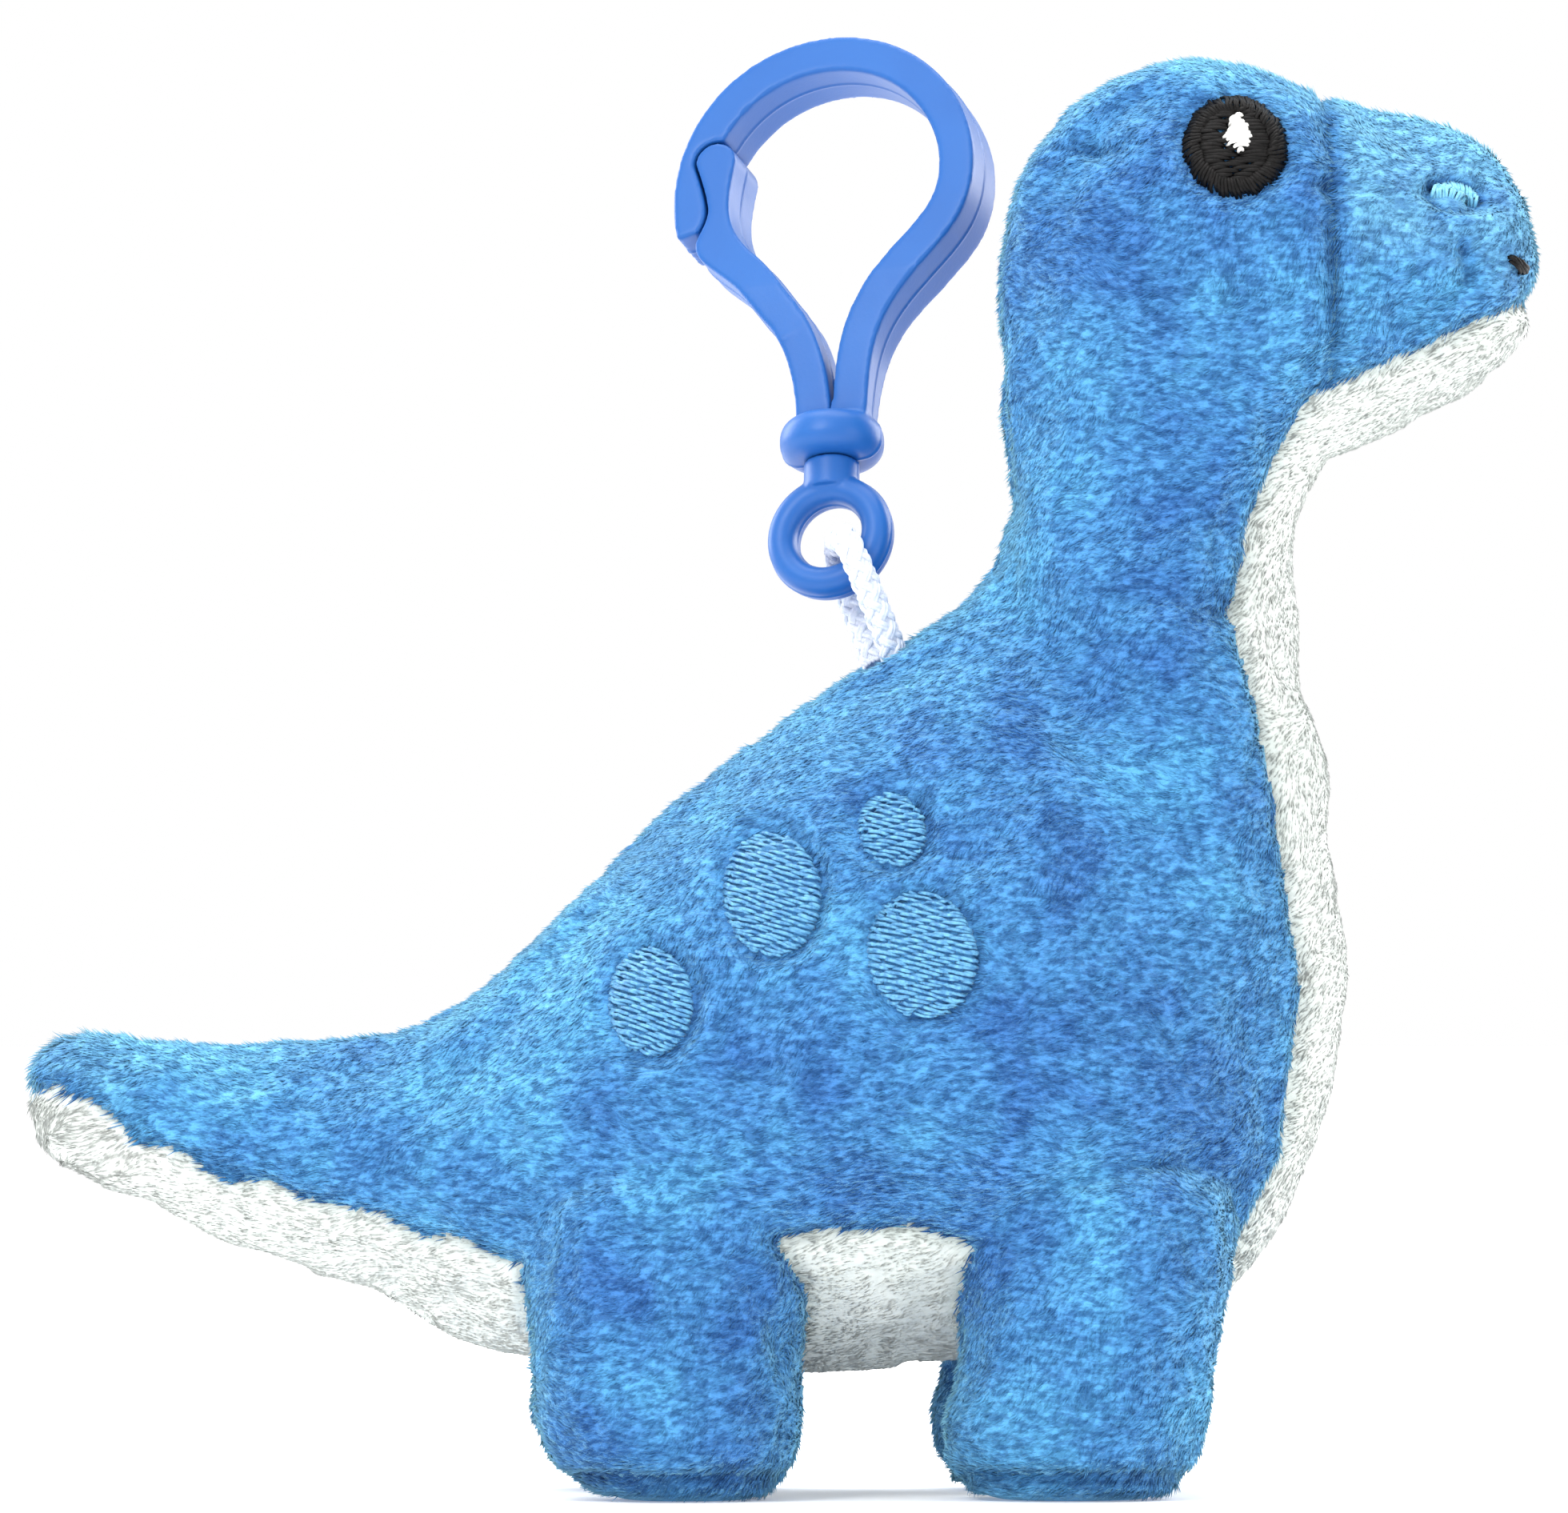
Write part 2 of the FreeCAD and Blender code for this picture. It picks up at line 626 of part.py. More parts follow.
collar_bottom = size("shoulder_top") + size("swivel_gap")
collar = doc.addObject("Part::Cylinder", "collar_disc")
collar.setExpression("Radius", "sizes.collar_diameter / 2")
collar.setExpression("Height", "sizes.collar_height")
collar.setExpression("Placement.Base.z", "sizes.shoulder_top + sizes.swivel_gap")
doc.recompute()
rounded_collar = doc.addObject("Part::Fillet", "rounded_collar")
rounded_collar.Base = collar
rounded_collar.Edges = [(n, size("collar_edge"), size("collar_edge")) for n in rims(collar)]

bore = doc.addObject("Part::Cylinder", "pin_bore")
bore.setExpression("Radius", "sizes.pin_diameter / 2 + sizes.swivel_gap")
bore.setExpression("Height", "sizes.socket_floor + 1.0")
bore.setExpression("Placement.Base.z", "sizes.shoulder_top + sizes.swivel_gap - 0.5")
cavity = doc.addObject("Part::Cylinder", "snap_cavity")
cavity.setExpression("Radius", "sizes.snap_diameter / 2 + sizes.swivel_gap")
cavity.setExpression("Height", "sizes.snap_height + 2 * sizes.swivel_gap")
cavity.setExpression(
    "Placement.Base.z", "sizes.shoulder_top + sizes.swivel_gap + sizes.socket_floor"
)
doc.recompute()

envelope = depth_envelope()
gate_face = gate_outline(0.0)
gate_room = drawn_deep(gate_outline(GATE_GAP), DEPTH)
COLLAR_OVERLAP = 1.0
above_collar = block(
    Vector(-CLIP_REACH, -DEPTH, collar_bottom + size("collar_height") - COLLAR_OVERLAP),
    Vector(CLIP_REACH, DEPTH, CLIP_TOP),
)
arms = drawn_deep(band(HOOK_LINE), DEPTH / 2).fuse(drawn_deep(band(ROOT_LINE), DEPTH / 2))
arms = arms.common(envelope).common(above_collar)
hook_shape = arms.cut(gate_room).fuse(rounded_collar.Shape).cut(bore.Shape).cut(cavity.Shape)
hook = keep("clip_hook", solid_of(hook_shape))
hook.Placement = clip_place
gate = keep("clip_gate", drawn_deep(gate_face, DEPTH / 2).common(envelope))
gate.Placement = clip_place

# The swivel ring: a short tube with its rims rounded over, a shoulder, and a pin
# whose head snaps into the collar's cavity.
outer_drum = doc.addObject("Part::Cylinder", "outer_drum")
outer_drum.setExpression("Radius", "sizes.ring_mid_radius + sizes.ring_wire_width / 2")
inner_drum = doc.addObject("Part::Cylinder", "inner_drum")
inner_drum.setExpression("Radius", "sizes.ring_mid_radius - sizes.ring_wire_width / 2")
for drum in (outer_drum, inner_drum):
    drum.setExpression("Height", "sizes.ring_wire_depth")
    drum.Placement = Placement(Vector(), Rotation(Vector(1, 0, 0), 90))
    drum.setExpression("Placement.Base.y", "sizes.ring_wire_depth / 2")
drum_tube = doc.addObject("Part::Cut", "drum_tube")
drum_tube.Base = outer_drum
drum_tube.Tool = inner_drum
doc.recompute()
ring_turn = doc.addObject("Part::Fillet", "ring_turn")
ring_turn.Base = drum_tube
RIM_ROUND = size("ring_wire_width") / 2 * 0.96
ring_turn.Edges = [(n, RIM_ROUND, RIM_ROUND) for n in rims(drum_tube)]
# Each step of the stem: name, diameter, bottom, height.
STEM = (
    (
        "ring_shoulder",
        "shoulder_diameter",
        "sizes.ring_mid_radius",
        "sizes.shoulder_top - sizes.ring_mid_radius",
    ),
    (
        "ring_pin",
        "pin_diameter",
        "sizes.shoulder_top",
        "sizes.pin_length + sizes.snap_height / 2",
    ),
    (
        "ring_snap",
        "snap_diameter",
        "sizes.shoulder_top + sizes.pin_length",
        "sizes.snap_height",
    ),
)
stem_parts = []
for name, diameter, base, height in STEM:
    step = doc.addObject("Part::Cylinder", name)
    step.setExpression("Radius", f"sizes.{diameter} / 2")
    step.setExpression("Height", height)
    step.setExpression("Placement.Base.z", base)
    stem_parts.append(step)
hole = doc.addObject("Part::Cylinder", "ring_hole")
hole.setExpression("Radius", "sizes.ring_mid_radius")
hole.setExpression("Height", "sizes.ring_wire_depth * 2")
hole.Placement = Placement(Vector(0, size("ring_wire_depth"), 0), Rotation(Vector(1, 0, 0), 90))
stem = doc.addObject("Part::MultiFuse", "ring_stem")
stem.Shapes = stem_parts
clear_stem = doc.addObject("Part::Cut", "clear_stem")
clear_stem.Base = stem
clear_stem.Tool = hole
ring = doc.addObject("Part::MultiFuse", "swivel_ring")
ring.Shapes = [ring_turn, clear_stem]
ring.Label = "swivel_ring"
ring.Placement = clip_place
nodes.append(ring)

# ---------------------------------------------------------------- check and write
doc.recompute()
for item in doc.Objects:
    if "Invalid" in item.State or "Error" in item.State:
        raise RuntimeError(f"{item.Label} failed: {item.State}")
for node in nodes:
    if node.Shape.isNull() or not node.Shape.isValid():
        raise RuntimeError(f"{node.Label} has no valid shape")

os.makedirs("parts", exist_ok=True)
for node in nodes:
    node.Shape.exportStep(f"parts/{node.Label}.step")
    print(f"{node.Label:28s} solids {len(node.Shape.Solids)} volume {node.Shape.Volume:9.1f}")
print("exit", loop_exit, "seam way", seam_way, "ring centre", ring_centre)
for axis in (Vector(1, 0, 0), Vector(0, 1, 0), Vector(0, 0, 1)):
    print("clip axis", clip_turning.multVec(axis))
print("knuckle", clip_place.multVec(in_clip(KNUCKLE)))
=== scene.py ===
import math

import bmesh
import bpy
import numpy as np
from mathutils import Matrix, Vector, noise
from mathutils.bvhtree import BVHTree


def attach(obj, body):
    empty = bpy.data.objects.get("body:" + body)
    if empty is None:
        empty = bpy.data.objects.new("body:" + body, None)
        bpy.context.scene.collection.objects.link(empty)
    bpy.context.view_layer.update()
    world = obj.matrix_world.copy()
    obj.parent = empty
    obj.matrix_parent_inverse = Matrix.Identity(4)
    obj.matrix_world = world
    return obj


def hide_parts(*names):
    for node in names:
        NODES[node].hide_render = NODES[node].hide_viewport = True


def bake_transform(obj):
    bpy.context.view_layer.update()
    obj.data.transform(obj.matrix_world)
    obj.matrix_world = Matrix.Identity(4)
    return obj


# A plush dinosaur bag clip: sewn panels of short pile, embroidery, a braided cord
# loop and a plastic snap clip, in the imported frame. Lengths are metres; MM turns
# millimetres into them. Tables give places in millimetres, x towards the head.
MM = 0.001

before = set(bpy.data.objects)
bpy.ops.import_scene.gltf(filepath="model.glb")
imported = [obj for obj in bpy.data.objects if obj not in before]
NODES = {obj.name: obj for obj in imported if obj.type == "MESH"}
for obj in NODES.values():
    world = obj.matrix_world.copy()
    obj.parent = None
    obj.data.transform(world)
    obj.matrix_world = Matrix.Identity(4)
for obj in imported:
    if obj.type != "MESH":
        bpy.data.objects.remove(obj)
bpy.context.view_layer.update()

SIDES = {"left": 1.0, "right": -1.0}
PANELS = [
    "belly_gusset",
    "left_side_panel",
    "right_side_panel",
    "left_muzzle_panel",
    "right_muzzle_panel",
    "left_rear_inner_leg_panel",
    "right_rear_inner_leg_panel",
    "left_front_inner_leg_panel",
    "right_front_inner_leg_panel",
]
STUFFING = [
    "tail_stuffing",
    "body_stuffing",
    "neck_stuffing",
    "head_stuffing",
    "left_rear_leg_stuffing",
    "right_rear_leg_stuffing",
    "left_front_leg_stuffing",
    "right_front_leg_stuffing",
]


# ------------------------------------------------------------------ mesh helpers
def points_of(mesh):
    """A mesh's points as an array."""
    co = np.zeros(len(mesh.vertices) * 3, np.float32)
    mesh.vertices.foreach_get("co", co)
    return co.reshape(-1, 3).astype(float)


def normals_of(mesh):
    """A mesh's smooth point normals as an array."""
    out = np.zeros(len(mesh.vertices) * 3, np.float32)
    mesh.vertex_normals.foreach_get("vector", out)
    return out.reshape(-1, 3).astype(float)


def set_points(mesh, points):
    mesh.vertices.foreach_set("co", np.asarray(points, np.float32).ravel())
    mesh.update()


def new_object(name, points, faces, smooth=True):
    mesh = bpy.data.meshes.new(name)
    mesh.from_pydata([tuple(p) for p in points], [], [tuple(f) for f in faces])
    mesh.update()
    if smooth:
        mesh.polygons.foreach_set("use_smooth", [True] * len(mesh.polygons))
    made = bpy.data.objects.new(name, mesh)
    bpy.context.scene.collection.objects.link(made)
    return made


def joined(name, names):
    """One mesh object holding copies of several CAD nodes."""
    points = []
    faces = []
    for node in names:
        mesh = NODES[node].data
        first = len(points)
        points.extend(tuple(v.co) for v in mesh.vertices)
        faces.extend(tuple(first + i for i in p.vertices) for p in mesh.polygons)
    return new_object(name, points, faces)


def evaluated_mesh(thing):
    graph = bpy.context.evaluated_depsgraph_get()
    return bpy.data.meshes.new_from_object(thing.evaluated_get(graph))


def bake_modifiers(thing):
    """Replaces an object's mesh by what its modifiers make of it."""
    mesh = evaluated_mesh(thing)
    thing.modifiers.clear()
    thing.data = mesh
    return thing


def remeshed(thing, voxel):
    step = thing.modifiers.new("remesh", "REMESH")
    step.mode = "VOXEL"
    step.voxel_size = voxel
    step.use_smooth_shade = True
    return bake_modifiers(thing)


def subdivided(thing, levels):
    step = thing.modifiers.new("subdivide", "SUBSURF")
    step.levels = levels
    step.render_levels = levels
    return bake_modifiers(thing)


def face_table(mesh):
    """The corners of every face of a mesh."""
    return [tuple(p.vertices) for p in mesh.polygons]


def outer_part(thing):
    """Keeps only the connected part that reaches furthest along x."""
    mesh = thing.data
    points = points_of(mesh)
    faces = face_table(mesh)
    parent = list(range(len(points)))

    def root(i):
        while parent[i] != i:
            parent[i] = parent[parent[i]]
            i = parent[i]
        return i

    for face in faces:
        a = root(face[0])
        for corner in face[1:]:
            b = root(corner)
            if a != b:
                parent[b] = a
    roots = np.array([root(i) for i in range(len(points))])
    best = roots[int(np.argmax(points[:, 0]))]
    kept = roots == best
    number = np.cumsum(kept) - 1
    new_faces = [tuple(int(number[i]) for i in f) for f in faces if kept[f[0]]]
    mesh = bpy.data.meshes.new(thing.name)
    mesh.from_pydata([tuple(p) for p in points[kept]], [], new_faces)
    mesh.update()
    mesh.polygons.foreach_set("use_smooth", [True] * len(mesh.polygons))
    thing.data = mesh
    return thing


def edges_of(mesh):
    out = np.zeros(len(mesh.edges) * 2, np.int32)
    mesh.edges.foreach_get("vertices", out)
    return out.reshape(-1, 2)


def relaxed(points, edges, rounds, share=0.5):
    """Points eased towards the middle of their neighbours, a number of times."""
    count = np.zeros(len(points))
    np.add.at(count, edges[:, 0], 1)
    np.add.at(count, edges[:, 1], 1)
    for _ in range(rounds):
        total = np.zeros_like(points)
        np.add.at(total, edges[:, 0], points[edges[:, 1]])
        np.add.at(total, edges[:, 1], points[edges[:, 0]])
        points = points + share * (total / count[:, None] - points)
    return points


def fine_noise(points, scale, seed):
    """Smooth noise from -1 to 1 at each point; scale is the size of its lumps."""
    offset = Vector((seed * 7.3, seed * 3.1, seed * 5.7))
    return np.array([noise.noise(Vector(p) / scale + offset) for p in points])


def bump(distance, width):
    """A bell that is 1 at no distance."""
    return np.exp(-((distance / width) ** 2))


def unit(rows):
    length = np.linalg.norm(rows, axis=-1, keepdims=True)
    return rows / np.maximum(length, 1e-12)


# ------------------------------------------------------------------ materials
def material(name):
    made = bpy.data.materials.new(name)
    made.use_nodes = True
    tree = made.node_tree
    shader = tree.nodes["Principled BSDF"]
    return made, tree, shader


def node(tree, kind, **settings):
    made = tree.nodes.new(kind)
    for key, value in settings.items():
        setattr(made, key, value)
    return made


def ramp(tree, factor, stops):
    """Colours along a factor: (position, (r, g, b)) in linear light."""
    made = node(tree, "ShaderNodeValToRGB")
    made.color_ramp.interpolation = "EASE"
    while len(made.color_ramp.elements) < len(stops):
        made.color_ramp.elements.new(0.5)
    for element, (place, colour) in zip(made.color_ramp.elements, stops):
        element.position = place
        element.color = (*colour, 1.0)
    tree.links.new(factor, made.inputs["Fac"])
    return made.outputs["Color"]


def mixed(tree, kind, factor, first, second):
    made = node(tree, "ShaderNodeMix", data_type="RGBA", blend_type=kind)
    made.inputs["Factor"].default_value = factor if isinstance(factor, float) else 0.5
    if not isinstance(factor, float):
        tree.links.new(factor, made.inputs["Factor"])
    for socket, value in ((made.inputs["A"], first), (made.inputs["B"], second)):
        if isinstance(value, tuple):
            socket.default_value = (*value, 1.0)
        else:
            tree.links.new(value, socket)
    return made.outputs["Result"]


def lumps(tree, size_mm, detail, roughness=0.5, stretch=(1.0, 1.0, 1.0)):
    """Noise in the object's own space; its lumps are about size_mm across."""
    where = node(tree, "ShaderNodeTexCoord")
    place = node(tree, "ShaderNodeMapping")
    place.inputs["Scale"].default_value = stretch
    tree.links.new(where.outputs["Object"], place.inputs["Vector"])
    made = node(tree, "ShaderNodeTexNoise")
    made.inputs["Scale"].default_value = 1.0 / (size_mm * MM)
    made.inputs["Detail"].default_value = detail
    made.inputs["Roughness"].default_value = roughness
    tree.links.new(place.outputs["Vector"], made.inputs["Vector"])
    return made.outputs["Fac"]


def bumped(tree, shader, height, strength, distance_mm):
    made = node(tree, "ShaderNodeBump")
    made.inputs["Strength"].default_value = strength
    made.inputs["Distance"].default_value = distance_mm * MM
    tree.links.new(height, made.inputs["Height"])
    tree.links.new(made.outputs["Normal"], shader.inputs["Normal"])
    return made


def grey(share, contrast):
    """A multiplier that is 1 without contrast; blue changes least."""
    return tuple(1.0 + (share - 1.0) * contrast * part for part in (1.0, 0.9, 0.7))


def pile_material(name, dark, middle, light, sheen, sheen_tint, tips, contrast, evenness):
    """Short pile: patchy tone from how it lies, streaks, painted shade at tuft roots under brighter
    tips, painted light and shade from the lit attribute, and sheen.
    """
    made, tree, shader = material(name)
    broad = lumps(tree, 15.0, 3.0, 0.55, (1.0, 0.6, 1.0))
    patches = ramp(tree, broad, [(0.36, dark), (0.5, middle), (0.66, light)])
    fine = lumps(tree, 0.85, 3.0, 0.62, (0.6, 0.6, 1.6))
    streaks = ramp(tree, fine, [(0.38, grey(0.55, contrast)), (0.62, grey(1.3, contrast))])
    tone = mixed(tree, "MULTIPLY", 1.0, patches, streaks)
    # Painted light and shade from the lit attribute: darker for painted shade in hollows, lighter
    # for painted light and paler cloth.
    lit = node(tree, "ShaderNodeAttribute", attribute_name="lit")
    painted_shade_tint, pale_and_painted_light_tint = grey(0.42, 1.0), (2.3, 1.7, 1.26)
    if contrast < 0.5:
        painted_shade_tint, pale_and_painted_light_tint = (0.8, 0.84, 0.84), (1.0, 1.0, 1.0)
    painted_light_and_shade = ramp(tree, lit.outputs["Fac"], [(0.0, painted_shade_tint), (0.5, (1.0, 1.0, 1.0)), (1.0, pale_and_painted_light_tint)])
    tone = mixed(tree, "MULTIPLY", 1.0, tone, painted_light_and_shade)
    if tips:
        # Painted shade at the roots: each tuft is darker at its root than at its tip.
        share = node(tree, "ShaderNodeAttribute", attribute_name="tip")
        stops = [(0.0, grey(0.86, contrast)), (1.0, grey(1.1, contrast))]
        shade = ramp(tree, share.outputs["Fac"], stops)
        tone = mixed(tree, "MULTIPLY", 1.0, tone, shade)
        lie = node(tree, "ShaderNodeAttribute", attribute_name="skin_normal")
        own = node(tree, "ShaderNodeNewGeometry")
        blend = node(tree, "ShaderNodeMix", data_type="VECTOR")
        blend.inputs["Factor"].default_value = evenness
        tree.links.new(own.outputs["Normal"], blend.inputs["A"])
        tree.links.new(lie.outputs["Vector"], blend.inputs["B"])
        tree.links.new(blend.outputs["Result"], shader.inputs["Normal"])
    else:
        bumped(tree, shader, lumps(tree, 0.7, 4.0, 0.7, (0.7, 0.7, 2.0)), 0.9 * contrast, 0.5)
    tree.links.new(tone, shader.inputs["Base Color"])
    shader.inputs["Roughness"].default_value = 0.92
    shader.inputs["Specular IOR Level"].default_value = 0.12
    shader.inputs["Sheen Weight"].default_value = sheen
    shader.inputs["Sheen Roughness"].default_value = 0.5
    shader.inputs["Sheen Tint"].default_value = (*sheen_tint, 1.0)
    return made


def thread_material(name, dark, light, gloss, sheen=0.15):
    made, tree, shader = material(name)
    tone = ramp(tree, lumps(tree, 0.5, 3.0, 0.6), [(0.3, dark), (0.7, light)])
    tree.links.new(tone, shader.inputs["Base Color"])
    shader.inputs["Roughness"].default_value = 0.52
    shader.inputs["Specular IOR Level"].default_value = gloss
    shader.inputs["Sheen Weight"].default_value = sheen
    bumped(tree, shader, lumps(tree, 0.16, 2.0, 0.6), 0.5, 0.12)
    return made


def plastic_material(name, low, high):
    made, tree, shader = material(name)
    tone = ramp(tree, lumps(tree, 14.0, 2.0), [(0.35, low), (0.65, high)])
    tree.links.new(tone, shader.inputs["Base Color"])
    rough = node(tree, "ShaderNodeMapRange")
    rough.inputs["To Min"].default_value = 0.36
    rough.inputs["To Max"].default_value = 0.46
    tree.links.new(lumps(tree, 3.0, 3.0), rough.inputs["Value"])
    tree.links.new(rough.outputs["Result"], shader.inputs["Roughness"])
    shader.inputs["Specular IOR Level"].default_value = 0.34
    shader.inputs["Subsurface Weight"].default_value = 0.08
    shader.inputs["Subsurface Radius"].default_value = (0.001, 0.0015, 0.003)
    bumped(tree, shader, lumps(tree, 0.35, 3.0, 0.6), 0.12, 0.08)
    return made


BLUE_TONES = ((0.044, 0.172, 0.5), (0.068, 0.262, 0.61), (0.098, 0.375, 0.73))
WHITE_TONES = ((0.61, 0.655, 0.622), (0.645, 0.685, 0.655), (0.675, 0.71, 0.68))
blue_skin = pile_material("blue_minky", *BLUE_TONES, 1.0, (0.4, 0.85, 1.0), False, 1.0, 0.8)
blue_pile = pile_material("blue_pile", *BLUE_TONES, 1.0, (0.4, 0.85, 1.0), True, 1.0, 0.8)
white_skin = pile_material("white_plush", *WHITE_TONES, 0.3, (0.95, 1.0, 0.98), False, 0.08, 1.0)
white_pile = pile_material("white_pile", *WHITE_TONES, 0.3, (0.95, 1.0, 0.98), True, 0.06, 0.98)
black_thread = thread_material(
    "black_thread", (0.002, 0.0018, 0.0018), (0.007, 0.006, 0.006), 0.16, 0.0
)
white_thread = thread_material("white_thread", (0.72, 0.71, 0.68), (0.9, 0.9, 0.88), 0.4)
blue_thread = thread_material("blue_thread", (0.035, 0.19, 0.42), (0.14, 0.43, 0.66), 0.5)
pale_thread = thread_material("pale_blue_thread", (0.16, 0.5, 0.72), (0.29, 0.66, 0.82), 0.4)
cord_fibre = thread_material("cord_fibre", (0.6, 0.64, 0.74), (0.78, 0.81, 0.88), 0.2)
clip_plastic = plastic_material("clip_plastic_blue", (0.013, 0.1, 0.36), (0.015, 0.112, 0.39))

# ------------------------------------------------------------------ stuffed skin
LOOP_EXIT = np.array([9.35, 0.0, 75.14])
SEAM_WAY = np.array([0.8398, 0.0, 0.543])
SEAM_OUT = np.array([-0.543, 0.0, 0.8398])
BACK_ROUND = 17.0
SIM_VOXEL = 1.3 * MM
CLOTH_FRAMES = 20
FULLEST = 1.1 * MM


def filler_ball(centre_mm, radius_mm):
    """A ball that closes the swing room under the loop, so the back seam runs through."""
    rings = 24
    points = []
    faces = []
    for i in range(1, rings):
        polar = math.pi * i / rings
        for j in range(2 * rings):
            turn = math.pi * j / rings
            points.append(
                (
                    centre_mm[0] + radius_mm * math.sin(polar) * math.cos(turn),
                    centre_mm[1] + radius_mm * math.sin(polar) * math.sin(turn),
                    centre_mm[2] + radius_mm * math.cos(polar),
                )
            )
    across = 2 * rings
    for i in range(rings - 2):
        for j in range(across):
            k = (j + 1) % across
            here = i * across
            below = (i + 1) * across
            faces.append((here + j, below + j, below + k, here + k))
    points.append((centre_mm[0], centre_mm[1], centre_mm[2] + radius_mm))
    points.append((centre_mm[0], centre_mm[1], centre_mm[2] - radius_mm))
    top = len(points) - 2
    last = (rings - 2) * across
    for j in range(across):
        k = (j + 1) % across
        faces.append((top, j, k))
        faces.append((top + 1, last + k, last + j))
    return [tuple(np.array(p) * MM) for p in points], faces


def hull():
    """The closed outside of the stuffed toy, evenly meshed."""
    shell = joined("hull", PANELS + STUFFING)
    points = [tuple(v.co) for v in shell.data.vertices]
    faces = face_table(shell.data)
    for shift in (-3.2, 0.0, 3.2):
        centre = LOOP_EXIT + SEAM_WAY * shift - SEAM_OUT * (BACK_ROUND + 0.1)
        more, more_faces = filler_ball(centre, BACK_ROUND)
        first = len(points)
        points.extend(more)
        faces.extend(tuple(first + i for i in f) for f in more_faces)
    mesh = bpy.data.meshes.new("hull")
    mesh.from_pydata(points, [], faces)
    shell.data = mesh
    remeshed(shell, SIM_VOXEL)
    outer_part(shell)
    eased = relaxed(points_of(shell.data), edges_of(shell.data), 3)
    set_points(shell.data, eased)
    return shell


trees = {}
for panel in PANELS:
    trees[panel] = BVHTree.FromPolygons(
        [v.co.copy() for v in NODES[panel].data.vertices],
        [tuple(p.vertices) for p in NODES[panel].data.polygons],
    )


def panel_distances(points):
    """Distance in millimetres from each point to each panel, one column a panel."""
    rows = np.zeros((len(points), len(PANELS)))
    for column, panel in enumerate(PANELS):
        tree = trees[panel]
        rows[:, column] = [tree.find_nearest(Vector(p))[3] / MM for p in points]
    return rows


def seam_distance(distances):
    """How far each point is from the nearest seam, from its two nearest panels."""
    two = np.sort(distances, axis=1)[:, :2]
    return two[:, 1] - two[:, 0]


def inflate(shell):
    """Lets the sewn skin fill under pressure with its seams held, and caps the move.

    Some points run far past the cap, so the cap shapes the skin as well as the cloth does.
    """
    start = points_of(shell.data)
    seam = seam_distance(panel_distances(start))
    held = np.clip(bump(seam, 1.5), 0, 1)
    held = np.maximum(held, np.clip(1.6 - start[:, 2] / MM, 0, 1))
    group = shell.vertex_groups.new(name="held")
    for i, weight in enumerate(held):
        if weight > 0.02:
            group.add([i], float(weight), "REPLACE")
    cloth = shell.modifiers.new("cloth", "CLOTH")
    settings = cloth.settings
    settings.vertex_group_mass = "held"
    settings.pin_stiffness = 1.0
    settings.quality = 5
    settings.mass = 0.15
    settings.tension_stiffness = 12.0
    settings.compression_stiffness = 12.0
    settings.shear_stiffness = 5.0
    settings.bending_stiffness = 0.1
    settings.use_pressure = True
    settings.uniform_pressure_force = 4.0
    settings.shrink_min = -0.035
    settings.effector_weights.gravity = 0.0
    cloth.collision_settings.use_collision = False
    scene = bpy.context.scene
    for step in range(1, CLOTH_FRAMES + 1):
        scene.frame_set(step)
    moved = points_of(evaluated_mesh(shell))
    shell.modifiers.clear()
    scene.frame_set(1)
    step = moved - start
    length = np.linalg.norm(step, axis=1)
    print("cloth moved", length.mean() / MM, "mm on average, at most", length.max() / MM)
    share = np.tanh(length / FULLEST) * FULLEST / np.maximum(length, 1e-9)
    set_points(shell.data, start + step * share[:, None])


shell = hull()
inflate(shell)
shell.vertex_groups.clear()
subdivided(shell, 1)

skin = shell.data
place = points_of(skin)
out = normals_of(skin)
distances = panel_distances(place)
tail_end = np.clip((-18.0 - place[:, 0] / MM) / 10.0, 0, 1)
ragged = fine_noise(place, 2.6 * MM, 11) * (0.35 + 0.75 * tail_end)
distances[:, PANELS.index("belly_gusset")] += ragged * bump(seam_distance(distances), 2.5)
seam = seam_distance(distances)

# ------------------------------------------------------------------ hand work on the skin
# Embroidered patches: x, z, half width, half height, lean towards the head.
PATCHES = {
    "eye": (39.8, 120.1, 4.4, 4.4, 0.0),
    "nostril": (59.5, 115.7, 2.1, 0.85, 12.0),
    "tail_spot": (-12.3, 44.2, 3.7, 4.7, 8.0),
    "rear_spot": (-1.6, 53.7, 4.3, 5.4, 6.0),
    "top_spot": (9.0, 59.4, 3.0, 3.2, 0.0),
    "front_spot": (11.5, 48.4, 4.8, 5.5, 2.0),
}


def in_patch(points, patch):
    """1 on a patch's edge, less inside and more outside, for points in metres."""
    x, z, half_x, half_z, lean = patch
    angle = math.radians(lean)
    dx = points[:, 0] / MM - x
    dz = points[:, 2] / MM - z
    u = dx * math.cos(angle) - dz * math.sin(angle)
    v = dx * math.sin(angle) + dz * math.cos(angle)
    return np.hypot(u / half_x, v / half_z)


def crease(points, path, width):
    """A bell along a polyline on both flanks; path is x, z in millimetres."""
    flat = points[:, [0, 2]] / MM
    near = np.full(len(points), 1e9)
    for a, b in zip(path, path[1:]):
        a = np.array(a)
        b = np.array(b)
        share = np.clip(((flat - a) @ (b - a)) / ((b - a) @ (b - a)), 0, 1)
        near = np.minimum(near, np.linalg.norm(flat - a - share[:, None] * (b - a), axis=1))
    flank = np.clip(np.abs(points[:, 1]) / MM / 6.0, 0, 1)
    return bump(near, width) * flank


